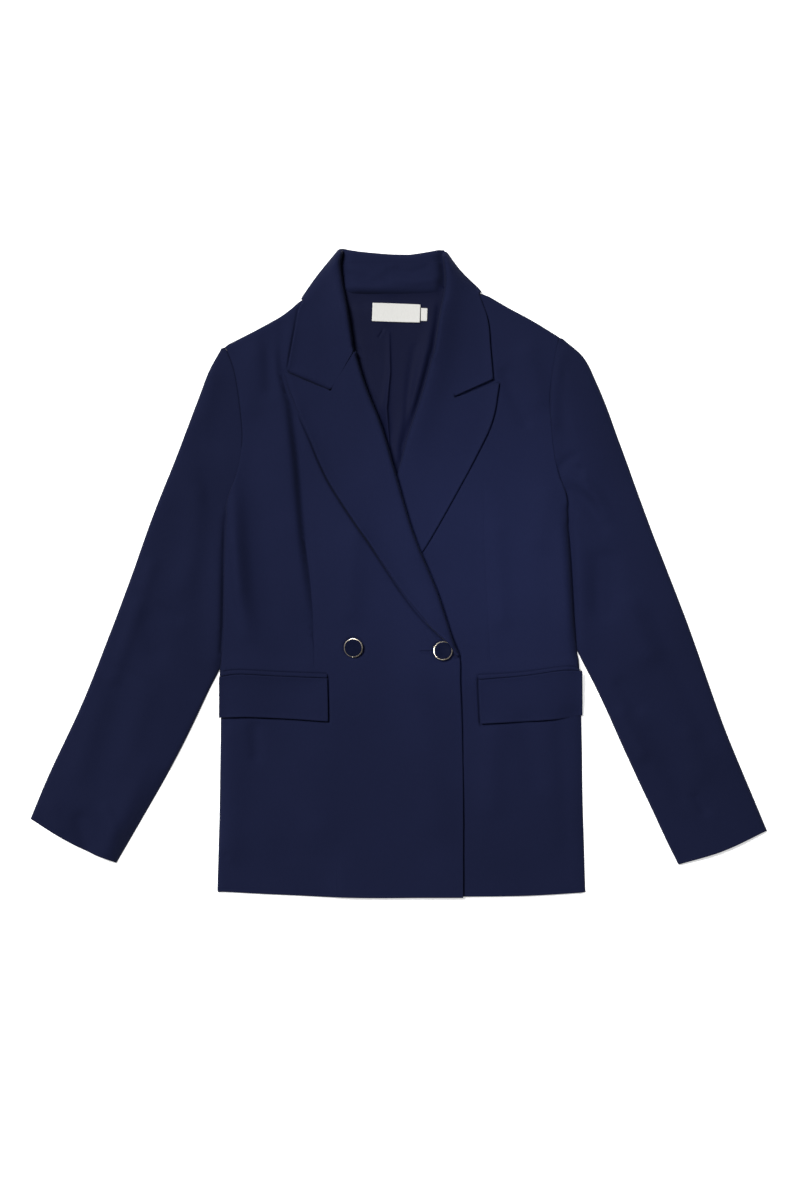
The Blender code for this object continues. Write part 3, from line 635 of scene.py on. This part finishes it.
def hardFinish(look):
    made, tree, shader, place = newFinish(look["name"])
    clouds = noiseNode(tree, place, look["clouds"], 4.0)
    tone = rampNode(tree, clouds, look["dark"], look["light"], look["stops"])
    scratches = noiseNode(tree, place, look["scratches"], 3.0, look["stretch"])
    roughness = mathNode(tree, "ADD", mathNode(tree, "MULTIPLY", scratches, look["uneven"]), look["roughness"])
    setInputs(shader, {"Base Color": tone, "Metallic": look["metallic"], "Specular IOR Level": look["specular"],
                       "Roughness": roughness})
    bumpNode(tree, shader, scratches, *look["bump"])
    return made


buttonFinishes = {part: hardFinish(look) for part, look in buttonLooks.items()}
print("finishes ready")


# edges that press into the cloth below: a place on the piece, the dip's width, and its depths as (up, depth)
covers = {}
for name, node, seed, width, depths in (
    ("lapelRight", "lapel_right", (-60, 560), 2, ((290, 8), (430, 7.5), (520, 6), (580, 5.4), (640, 5.4))),
    ("lapelTail", "lapel_right", (-60, 560), 3.2, ((296, 4), (325, 4), (350, 2.2), (385, 0))),
    ("rollRight", "lapel_right", (-60, 560), 3.6, ((300, 1.6), (480, 2.6), (650, 2.6))),
    ("lapelLeft", "lapel_left", (60, 540), 1.2, ((400, 2), (500, 2.4), (640, 3.2))),
    ("wingRight", "collar", (-95, 670), 1.9, ((600, 3.6), (700, 3.4))),
    ("wingLeft", "collar", (85, 670), 1.7, ((590, 3), (700, 2.6))),
    ("flapRight", "flap_right", (-140, 236), 1.7, ((200, 4.2), (270, 2.8))),
    ("flapLeft", "flap_left", (150, 236), 1.7, ((200, 4.2), (270, 2.8))),
    ("weltRight", "welt_right", (-140, 262.5), 1.2, ((250, 1), (280, 1))),
    ("weltLeft", "welt_left", (147, 263.6), 1.2, ((250, 0.8), (280, 0.8))),
    ("frontRight", "front_right", (-120, 300), 1.7, ((0, 1.4), (280, 1.8))),
):
    covers[name] = {"node": node, "seed": seed, "width": width, "depths": depths}

# folds of the body, shared by all that lies on it; they run downwards, and the first of two widths is towards -x
bodyFolds = {
    "right": [
        ([(-138, 676), (-139, 642), (-137, 616), (-126, 581), (-119, 529), (-115, 487), (-110, 417), (-104, 366),
          (-100, 310)], (4, 4), (-4.2, -5.4, -5.8, -5.6, -5.2, -4.6, -3.4, -2, -0.6)),
        ([(-148, 640), (-135.5, 580), (-127, 505), (-123, 459), (-119.5, 426), (-113, 375), (-104.5, 325)], (27, 7),
         (1.8, 5, 8.6, 9.6, 9, 6, 1.6)),
        ([(-174, 525), (-170, 470), (-166, 426), (-161, 378), (-151, 328), (-138, 300)], (23, 17),
         (-0.6, -2.4, -3.6, -3.6, -2.2, -0.6)),
        ([(-196, 520), (-195, 480), (-193, 420), (-188, 360), (-178, 312)], (8, 12), (0.6, 5.4, 9, 8, 2)),
        ([(-154, 660), (-152, 600)], 8, -3.2), ([(-172, 640), (-176, 580)], 14, 2.2),
        ([(-206, 269), (-110, 267)], 14, 2.8), ([(-52, 425), (-58, 340)], 15, 3),
        ([(-84, 500), (-55, 448), (-34, 418), (-2, 370), (22, 337), (44, 314)], 24, (0, 1.6, 2.2, 2.4, 2.4, 1.6)),
        ([(-200, 192), (-199, 129), (-201, 60)], (8, 18), 3.4), ([(-169, 200), (-168, 168)], 7, -2.6),
        ([(-120, 150), (-96, 90)], 24, 2.8), ([(20, 260), (34, 160), (40, 90)], 24, 2.4),
        ([(-205, 6), (-60, -2), (76, 2)], 44, -4.4), ([(-130, 52), (-96, 44)], 20, -1.6),
        ([(-70, 764), (-60, 700), (-50, 642), (-39, 603), (-20, 555), (-3, 496), (11, 448), (24, 411), (44, 363),
          (60, 315)], 17, (8.6, 10.2, 10, 9.2, 7.8, 6.2, 4.6, 3, 1.6, 0.3)),    # roll of the lapel
    ],
    "left": [
        ([(126, 618), (136, 590), (149, 562)], 7, -3), ([(152, 640), (166, 590)], 13, 2.8),
        ([(172, 472), (168, 425)], 15, 3), ([(115, 430), (120, 330)], 12, 2.4),
        ([(206, 205), (210, 140), (212, 60)], 20, (-6, -6, -3.6)), ([(100, 265), (212, 271)], 13, 2.2),
        ([(150, 205), (160, 140)], 14, -2), ([(112, 196), (108, 110)], 16, 2.6), ([(78, 2), (215, 8)], 44, -3.6),
        ([(188, 474), (192, 430), (196, 370), (199.5, 310), (202, 282)], (13, 9), (0.6, 5, 6.8, 6.4, 2.4)),
        ([(55, 763), (53, 723), (46, 681), (36, 626), (25, 587), (10, 542), (-2, 498)], 19,
         (4.6, 5.4, 5, 4.2, 3, 1.4, 0.1)),      # roll of the lapel
    ],
}
bodySeeds = {"right": 1.3, "left": 2.6}     # the wearer's sides; what lies on a side ripples with it


def sidePart(pair, side, node):
    # what both sides share, with what this one adds
    return {"noiseSeed": bodySeeds[side], **pair["both"], **pair[side], "node": node.replace("*", side)}


def layPair(name, node, pair, material=suiting, base=None, sides=bodySeeds):
    # the side's name takes the place of a star
    for side in sides:
        part = sidePart(pair, side, node)
        shell = sewPanel(part, (base[side] if base else []) + part.get("folds", []))
        laySheet(name + side.capitalize(), [shell], material, part)


underCloth = {"faceUp": False, "thick": underThick, "edgeRound": 0.6, "spacing": 9, "rings": (0.3, 0.8),
              "noiseSeed": 1, "ripple": 0}

backs = {
    "both": {**underCloth, "flat": (0.235, 0.735), "area": 0.143},
    "right": {"seed": (-100, 300), "edges": [edge((1, 0), 0.6, 0.25, below=700, within=0.95)]},
    "left": {"seed": (100, 300), "edges": [edge((-1, 0), 0.6, 0.25, below=700, within=0.95)]},
}
layPair("back", "back_*", backs)

underSleeves = {
    "both": {**underCloth, "flat": (0.180, 0.640), "area": 0.069},
    "right": {"seed": (-320, 250)},
    "left": {"seed": (320, 250)},
}
layPair("underSleeve", "sleeve_*_under", underSleeves, shadedSleeveSuiting)

sleeves = {
    "both": {"thick": 1.6, "edgeRound": 0.75, "spacing": 4.2, "beads": [(1.9, 0.9, 0.15)],
             "flat": (0.200, 0.640), "area": 0.072},
    "right": {
        "seed": (-320, 250), "over": "sleeve_right_under", "noiseSeed": 4.7,
        "edges": [
            edge((-0.92, 0.39), 5, 0.4), edge((0.89, -0.45), 4, 0.3, below=300),
            edge((0.89, -0.45), 13, 0.3, below=150), edge((1, 0), 4, 0.3, above=300, below=462),
            edge((1, 0.1), 1.8, 0.4, above=474, below=644, drop=1.8),
            edge((1, 0.1), 1.6, 0.7, above=484, below=530, drop=0.8), edge((1, 0), 2.5, 2, above=454, below=486),
        ],
        "folds": [
            ([(-222, 612), (-232, 572)], 14, 3.6), ([(-226, 532), (-214, 478)], (18, 14), -4.2),
            ([(-238, 470), (-240, 417), (-252, 368)], 14, 2.2), ([(-264, 446), (-272, 398)], 18, -2.4),
            ([(-292, 390), (-312, 330), (-336, 260)], 9, 2.4), ([(-291, 326), (-286, 294)], 15, -3.6),
            ([(-322, 275), (-332, 222), (-353, 141)], (18, 20), (-1.4, -2.6, -2.6)),
            ([(-296, 250), (-322, 160)], 15, 2), ([(-350, 230), (-378, 150)], 14, 1.2),
            ([(-299, 152), (-320, 104), (-345, 52)], (14, 12), (1.6, 4.8, 5)), ([(-375, 92), (-369, 58)], 8, -3.6),
            ([(-344, 104), (-336, 78)], 8, 3), ([(-408, 106), (-398, 84)], 12, 2.1),
            ([(-304, 356), (-262, 330)], 7, -1.5), ([(-334, 272), (-292, 250)], 6, -1.4),
            ([(-205, 468), (-209.5, 436), (-211, 370), (-211.6, 320), (-214, 284)], (14, 6),
             (0.4, 3.6, 5.2, 5.2, 3.6)),
        ],
        "seams": [([(-201.6, 468), (-204.5, 440), (-205.5, 400), (-206, 360), (-206.8, 320), (-209, 288)], (1.9, 5),
                   (-1, -6, -8.5, -9, -9, -4.6))],
    },
    "left": {
        "seed": (320, 250), "over": "sleeve_left_under", "noiseSeed": 6.1,
        "edges": [
            edge((0.92, 0.39), 5, 0.4), edge((-0.89, -0.45), 4, 0.3, below=300),
            edge((-1, 0.1), 1.8, 0.5, above=479, below=655, drop=0.8),
            edge((-1, 0), 0.8, 0.8, above=288, below=470, drop=2.6),
        ],
        "folds": [
            ([(208, 521), (198, 515), (190, 505), (189, 488)], (5, 3), (-2, -3.2, -3.2, -1.6)),
            ([(198, 497), (214, 491), (232, 472), (244, 452)], 8, (2.4, 4.2, 4, 1.6)),
            ([(212, 478), (224, 466), (239, 438)], 7, (-1.4, -3.4, -1.8)),
            ([(209, 446), (210, 420), (211.5, 380), (214, 330), (217, 298)], (4, 15), (1.2, 4, 5.2, 4.6, 2.2)),
            ([(244, 396), (243, 344)], 14, -5.1), ([(272, 345), (280, 320), (292, 290)], 15, 3.6),
            ([(262, 250), (280, 226)], 9, -2.7), ([(262, 215), (272, 196), (285, 170)], 9, 2.7),
            ([(300, 192), (313, 168), (333, 122)], 12, (-1.4, -3, -2)), ([(350, 118), (360, 104)], 6, -2.7),
            ([(340, 190), (356, 150)], 14, 2.4), ([(255, 560), (280, 500)], 12, -1.8),
            ([(190, 640), (184, 600), (182, 560)], (6, 8), 2.4), ([(300, 330), (330, 262), (362, 190)], 12, -1.5),
            ([(200, 600), (206, 560), (214, 515)], (8, 32), (1.6, 4, 3.4)),
        ],
        "seams": [([(200, 476), (202.5, 440), (203.6, 400), (205.2, 340), (208, 290)], (6, 1.7),
                   (-2.4, -6.4, -8, -8, -4.4))],
    },
}
layPair("upperSleeve", "sleeve_*_upper", sleeves, shadedSleeveSuiting)

fronts = {
    "both": {"thick": 1.8, "edgeRound": 0.8, "spacing": 4.2, "beads": [(2, 1, 0.18)],
             "flat": (0.300, 0.745), "area": 0.180},
    "right": {
        "seed": (-120, 300), "over": ("back_right", "front_left"),
        "under": [covers[name] for name in ("lapelRight", "lapelTail", "wingRight", "flapRight", "weltRight")],
        "hollows": ["button_right_cup", "button_left_cup"],
        "edges": [
            edge((-1, 0), 1.4, -0.3, below=474, reach="back_right"),
            edge((-1, 0), 1.4, -1.1, above=286, below=345, reach="back_right"),
            edge((-1, 0), 4.5, 1.1, below=274, reach="back_right"),
            edge((-1, 0.1), 2, 0.4, above=474, below=645, drop=2.2),
            edge((-1, 0.1), 1.6, 0.7, above=484, below=530, drop=0.9),
            edge((-1, 0), 2.2, 1.1, above=456, below=484, reach="back_right"),
            edge((-0.45, 0.9), 4.5, 1.9, above=640, reach="back_right"),
        ],
        "seams": [
            ([(27, 291), (41, 291)], 0.7, -1.2), ([(26.5, 292.4), (41, 292.4)], 0.6, 0.7),
            ([(26.5, 289.6), (41, 289.6)], 0.6, 0.7), ([(-134, 621), (-108, 609.5), (-82, 599)], 3, (-4, -6.4, -6)),
            ([(-110, 420), (-105, 386), (-101, 337), (-99, 274)], 1.1, (-0.2, -0.7, -0.6)),
        ],
    },
    "left": {
        "seed": (140, 300), "over": "back_left",
        "under": [covers[name] for name in ("lapelLeft", "wingLeft", "flapLeft", "weltLeft", "frontRight",
                                            "rollRight")],
        "edges": [
            edge((1, 0), 5, 0.3, below=479, reach="back_left"),
            edge((1, 0), 5, 0.2, above=284, below=464, reach="back_left"),
            edge((1, 0), 7.5, -0.9, above=284, below=444, reach="back_left"),
            edge((1, 0), 15, 0.2, below=262, reach="back_left"),
            edge((1, 0.1), 1.8, 0.5, above=479, below=655, drop=0.8),
            edge((1, 0), 2.2, 1.1, above=462, below=486, reach="back_left"),
            edge((0.45, 0.9), 4.5, 1, above=650, reach="back_left"), edge((0, -1), 0.8, 0.9, below=12, drop=0.8),
        ],
        "seams": [
            ([(112, 608), (88, 599), (72, 593)], 2.8, (-5.6, -5.6, -4.4)),
            ([(101, 500), (101, 418), (104, 363), (108, 282)], 1.1, (-0.1, -0.4, -0.3)),
        ],
    },
}
layPair("front", "front_*", fronts, base=bodyFolds)

lapelCloth = {"thick": 1.5, "edgeRound": 0.7, "spacing": 3.6, "blur": 5, "beads": [(1.4, 0.7, 0.4)]}

lapels = {
    "both": {**lapelCloth, "area": 0.0225},
    "right": {
        "seed": (-60, 560), "lies": ("collar", "lapel_right"), "flat": (0.105, 0.400),
        "edges": [
            edge((0.95, 0.32), 4, 0.6, reach="front_right"),
            edge((0.37, 0.93), 0.6, 0.9, above=594, drop=6, within=0.93),
            edge((-0.84, 0.54), 0.8, 1.45, above=600, drop=0.3, within=0.93),
            edge((0.1, 1), 1.5, 2.2, above=632, below=650, drop=1, within=0.75),
            edge((-0.7, -0.7), 1.1, 1.9, above=285, below=326, drop=2.6, within=0.85),
        ],
        "folds": [
            ([(-133, 619), (-129, 596), (-107, 548), (-85, 496), (-55, 448), (-34, 418), (-2, 370), (22, 337),
             (44, 313), (60, 299)], 8, (1.4, 1.6, 1.5, 1.3, 1.2, 1.4, 1.8, 2.4, 3.2, 4.2)),
            ([(58, 302), (68, 294)], 8, 1.2), ([(-95, 570), (-60, 500)], 22, -1.4), ([(0, 430), (40, 345)], 12, 1),
        ],
    },
    "left": {
        "seed": (60, 540), "lies": ("collar", "lapel_left"), "flat": (0.105, 0.385),
        "under": [covers["rollRight"]],
        "edges": [
            edge((-0.95, 0.3), 3.6, 0.3, above=440, reach="front_left"),
            edge((-0.38, 0.92), 0.8, 0.6, above=588, below=612, drop=4.6, within=0.93),
            edge((0.89, 0.45), 0.2, 1.7, above=592, below=640, drop=0.05, within=0.93),
        ],
        "folds": [([(117, 608), (118, 603), (110, 561), (90, 518), (64, 470), (48, 441), (26, 405)], 7,
                   (1.4, 1.4, 1, 0.7, 0.5, 0.4, 0))],
    },
}
layPair("lapel", "lapel_*", lapels, base=bodyFolds)

# the cloth inside the neck, pressed down along both collar wings
neckCloth = {
    "node": "collar_stand", "thick": 1.5, "spacing": 3, "blur": 8, "noiseSeed": 12.3, "ripple": 0.5,
    "under": [dict(covers["wingRight"], width=7, depths=((600, 5.6), (760, 5.6))),
              dict(covers["wingLeft"], width=6.5, depths=((600, 5.4), (760, 5.4)))],
}

collar = {
    "node": "collar", "flat": (0.36, 0.11), "area": 0.026,
    "wings": {
        "both": lapelCloth,
        "right": {
            "seed": (-95, 670), "lies": ("collar", "lapel_right"),
            "edges": [
                edge((1, -0.15), 4.4, 0.8, drop=9), edge((-0.8, 0.6), 11, 1.9, above=703),
                edge((-0.37, -0.93), 4.6, 2.7, below=626, drop=8, within=0.93),
                edge((-0.37, -0.93), 5, 2.4, below=612, drop=8, within=0.93),
                edge((0.84, -0.54), 0.9, 1.45, above=588, below=647, drop=0.35, within=0.93),
            ],
            "folds": [([(-122, 670), (-131, 622), (-101, 609), (-81, 600)], 6, (0.8, 1.5, 1.2, 0.3))],
        },
        "left": {
            "seed": (85, 670), "lies": ("collar", "lapel_left"),
            "edges": [
                edge((-1, -0.15), 3.6, 0.8, drop=11), edge((0.75, 0.66), 15, 2.2, above=712),
                edge((0.38, -0.92), 0.8, 0.6, below=614, drop=4.6, within=0.93),
                edge((-0.89, -0.45), 0.2, 1.7, above=588, below=640, drop=0.05, within=0.93),
            ],
            "folds": [([(105, 681), (108, 648), (111, 612), (84, 600), (67, 592)], 6, (0.7, 1.2, 1.5, 0.9, 0.2)),
                      ([(70, 764), (88, 743), (104, 722)], 11, (-4, -5.2, -2))],
        },
    },
    "crest": {
        **neckCloth, "edgeRound": 0.5, "rings": (0.2, 0.5, 0.95, 1.8), "raise": 1.7,
        "outline": [(-20, 748.4), (20, 748.4), (62, 748.4), (59, 757), (53, 764), (47, 764.3), (38, 762.7),
                    (26, 760.7), (14, 759), (2, 759), (-9, 759.3), (-21, 760.2), (-33, 761.2), (-45, 762.3),
                    (-57, 764), (-67, 765.6), (-71, 764.6), (-74, 757), (-74, 748.4)],
        "edges": [edge((0, 1), 5), edge((0, -1), 0.8, 0.3, drop=0.5)],
    },
}
shells = []
for side in bodySeeds:
    wing = sidePart(collar["wings"], side, "collar")
    shells.append(sewPanel(wing, bodyFolds[side] + wing["folds"]))
shells.append(sewPanel(collar["crest"]))
laySheet("collarFall", shells, suiting, collar)

stand = {
    **neckCloth, "seed": (-7, 733), "edgeRound": 0.35, "raise": 1.6, "flat": (0.125, 0.032), "area": 0.0039,
    "edges": [
        edge((0, -1), 8, 6.5, drop=4.4), edge((0, 1), 0.4, 0.4, drop=0.1), edge((-1, 0), 1.5, 3.5, drop=1),
        edge((1, 0), 1.5, 3, drop=1),
    ],
    "folds": [
        ([(46, 764), (45, 728)], (12, 6), 1.6),
        ([(-62, 720), (-30, 719), (0, 721), (44, 725)], 9, (4.2, 4, 2.6, 0.8)),
        ([(-58, 741), (-34, 737), (-22, 728)], 4, 1.1), ([(-12, 741), (12, 736), (30, 741)], 4, -1.1),
        ([(-60, 724), (-44, 728), (-24, 724)], 3, -1.2), ([(-6, 728), (20, 725), (44, 729)], 3.5, 1.2),
        ([(-30, 733), (-8, 744)], 5, 1), ([(34, 744), (48, 728)], 5, -1),
    ],
}
laySheet("collarStand", [sewPanel(stand, stand["folds"])], suiting, stand)

pockets = {
    "welt": {
        "both": {"thick": 1.2, "edgeRound": 0.5, "spacing": 2.4, "edgeStep": 1.6, "rings": (0.15, 0.4, 0.8),
                 "blur": 5, "waver": 0.2, "beads": [(1.6, 1.1, 0.6)], "flat": (0.128, 0.010), "area": 0.0007},
        "right": {"seed": (-140, 262.5)},
        "left": {"seed": (147, 263.6)},
    },
    "flap": {
        "both": {"thick": 1.2, "edgeRound": 0.6, "spacing": 3, "blur": 5, "raise": 1.1,
                 "beads": [(1.4, 0.7, 0.35)], "area": 0.0064},
        "right": {"seed": (-140, 236), "flat": (0.132, 0.056)},
        "left": {"seed": (150, 236), "flat": (0.124, 0.058)},
    },
}
for side in bodySeeds:
    for kind, pair in pockets.items():
        layPair("pocket" + kind.capitalize(), kind + "_*", pair, base=bodyFolds, sides=[side])

lining = {
    "node": "back_lining", "seed": (-30, 640), "over": ("back_right", "back_left"), "raise": 1.8, "thick": 1,
    "edgeRound": 0.45, "spacing": 2.6, "blur": 3, "noiseSeed": 17.5, "ripple": 0.6,
    "flat": (0.150, 0.260), "area": 0.0225,
    "under": [dict(covers["wingRight"], width=6, depths=((600, 4), (760, 4.6))),
              dict(covers["wingLeft"], width=4.6, depths=((600, 4), (760, 4.4))),
              dict(covers["lapelRight"], width=5, depths=((480, 2), (560, 3.4), (760, 4))),
              dict(covers["lapelLeft"], width=4.6, depths=((480, 2), (560, 3.6), (760, 4)))],
    "seams": [
        ([(-11, 664), (-10, 620), (-14, 577), (-11, 531), (-7, 504)], (4, 0.9), (0.8, 2.6, 3.6, 3.8, 3)),
        ([(-22.5, 663), (-18.5, 668.5)], 0.7, -1.1),
    ],
    "edges": [
        edge((1, -0.3), 0.3, 3, drop=0.3), edge((-1, -0.3), 0.3, 3, drop=0.3),
        edge((0, 1), 0.3, 6, above=705, drop=0.3, within=0.9),
    ],
    "folds": [
        ([(43, 690), (37, 660), (27, 620), (16, 582), (4, 540), (-3, 512)], (8, 5), (0.4, 2.6, 3.6, 3.6, 2.4, 0.6)),
        ([(-70, 707), (-30, 706), (10, 705), (56, 708)], 8, (-4, -3.6, -2, -2.2)),
        ([(18, 648), (13.5, 613), (9.5, 568), (4, 530)], (4, 7), (-0.8, -2.6, -3.2, -2.4)),
        ([(-44, 700), (-30, 706), (-12, 700)], 5, -0.7), ([(30, 690), (40, 660)], 8, -0.6),
        ([(-44, 650), (-34, 600)], 8, 0.5),
    ],
}
laySheet("backLining", [sewPanel(lining, lining["folds"])], liningFinish, lining)

labels = {
    "both": {"noiseSeed": 17.5, "ripple": 0.6, "raise": 0.8},
    "neckLabel": {"node": "neck_label", "seed": (-3, 689), "thick": 0.7, "edgeRound": 0.25, "spacing": 1.6,
                  "edgeStep": 1.4, "rings": (0.1, 0.3, 0.6, 1.1), "blur": 3, "waver": 0.5,
                  "beads": [(1.1, 0.6, 0.18)], "flat": (0.058, 0.024), "area": 0.0013,
                  "folds": [([(-31, 679), (-26, 677)], 4, 0.8), ([(-10, 701), (12, 699)], 4, -0.3)]},
    "sizeTab": {"node": "size_tab", "seed": (30, 688), "thick": 0.6, "edgeRound": 0.2, "spacing": 1.4,
                "edgeStep": 1.2, "rings": (0.1, 0.25, 0.5), "blur": 2, "waver": 0.2,
                "beads": [(0.8, 0.4, 0.12)], "flat": (0.0105, 0.0165), "area": 0.00016, "folds": []},
}
for name in ("neckLabel", "sizeTab"):
    part = {**labels["both"], **labels[name]}
    laySheet(name, [sewPanel(part, part["folds"])], labelFinish, part)


def turnedShape(profile, centre, tilt, steps=72):
    # a turned shape from (radius, height) points, closed over its middle, tipped towards a direction
    points, faces = [], []
    for radius, height in profile:
        for k in range(steps):
            angle = 2 * math.pi * k / steps
            points.append((radius * math.cos(angle), radius * math.sin(angle), height))
    rows = len(profile)
    for i in range(rows - 1):
        for k in range(steps):
            a, b = i * steps + k, i * steps + (k + 1) % steps
            faces.append((a, b, b + steps, a + steps))
    faces.append(tuple(range(steps - 1, -1, -1)))
    faces.append(tuple((rows - 1) * steps + k for k in range(steps)))
    degrees, towards = tilt
    axis = Vector((-math.sin(math.radians(towards)), math.cos(math.radians(towards)), 0))
    turn = Matrix.Rotation(math.radians(degrees), 3, axis)
    return [np.array(turn @ Vector(p)) + centre for p in points], faces


buttons = {
    "cup": [(3.0, -0.3), (10.4, 0.0), (11.0, 0.35), (11.3, 1.1), (11.4, 2.0), (11.36, 2.3), (11.2, 2.5),
            (10.95, 2.64), (10.45, 2.82), (10.42, 2.81), (10.4, 2.77), (10.4, 1.6), (0.6, 1.5)],
    "face": [(9.4, 1.2), (10.2, 1.4), (10.4, 2.0), (10.25, 2.3), (9.6, 2.5), (7.6, 2.42), (5.0, 2.3),
             (2.5, 2.22), (0.5, 2.2)],
    "lift": 0.4,
    "tilts": {"right": (11.5, 200), "left": (11.0, 97)},    # degrees, and the direction it leans to
}
for side, tilt in buttons["tilts"].items():
    cup = "button_" + side + "_cup"
    centre = (*hollowOf(cup)[:2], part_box(cup)[0].z / mm + buttons["lift"])
    for kind, material in buttonFinishes.items():
        shell = turnedShape(buttons[kind], centre, tilt)
        makePiece("button" + kind.capitalize() + side.capitalize(), [shell], material,
                  "button_" + side + "_" + kind)
print("buttons turned")

# floor, light and camera
studio = {
    "world": 0.17,
    "floorSize": 12,
    "overheadShade": 0.25,      # the ceiling straight above is darker than the walls
    "floorDrop": 0.0005,
    "floorGlow": 0.55,          # a light table
    "lights": [
        {"name": "keySoftbox", "place": (-4.5, 3.8, 10.1), "size": 2.9, "power": 1570, "spread": 180},
        {"name": "topSoftbox", "place": (0.10, 0.03, 1.05), "size": 0.2, "power": 0.16, "spread": 28},
    ],
    "cameraMiddle": (0.0015, -0.032),
    "frameHeight": 1.416,
    "lens": 90,
    "sensor": 36,
}
bpy.ops.mesh.primitive_plane_add(size=studio["floorSize"], location=(0, 0, -studio["floorDrop"]))
floor = bpy.context.object
floor.name = "studioFloor"
paleFloor, _, shader, _ = newFinish("paleFloor")
setInputs(shader, {"Base Color": (0.96, 0.96, 0.96, 1), "Roughness": 0.9, "Emission Color": (1, 1, 1, 1),
                   "Emission Strength": studio["floorGlow"]})
floor.data.materials.append(paleFloor)

world = bpy.data.worlds.new("studioWorld")
bpy.context.scene.world = world
world.use_nodes = True
room = world.node_tree
parts = newNode(room, "SeparateXYZ", {"Vector": newNode(room, "TexCoord", {}).outputs["Generated"]})
ceiling = rampNode(room, parts.outputs["Z"], (1, 1, 1), (studio["overheadShade"],) * 3, (0.90, 0.97))
setInputs(room.nodes["Background"], {"Color": ceiling, "Strength": studio["world"]})
for light in studio["lights"]:
    data = bpy.data.lights.new(light["name"], "AREA")
    data.energy, data.size, data.spread = light["power"], light["size"], math.radians(light["spread"])
    lamp = addObject(light["name"], data)
    lamp.location = light["place"]
    aim = -Vector(light["place"]) if light["name"] == "keySoftbox" else Vector((0, 0, -1))
    lamp.rotation_euler = aim.to_track_quat("-Z", "Y").to_euler()
    lamp.visible_camera = False
    lamp.visible_glossy = light["name"] == "keySoftbox"

cameraData = bpy.data.cameras.new("overhead")
cameraData.lens, cameraData.sensor_width, cameraData.clip_end = studio["lens"], studio["sensor"], 50
camera = addObject("overhead", cameraData)
camera.location = (*studio["cameraMiddle"], studio["frameHeight"] * studio["lens"] / studio["sensor"])
bpy.context.scene.camera = camera
bpy.context.scene.view_settings.view_transform = "Standard"
print("studio ready")
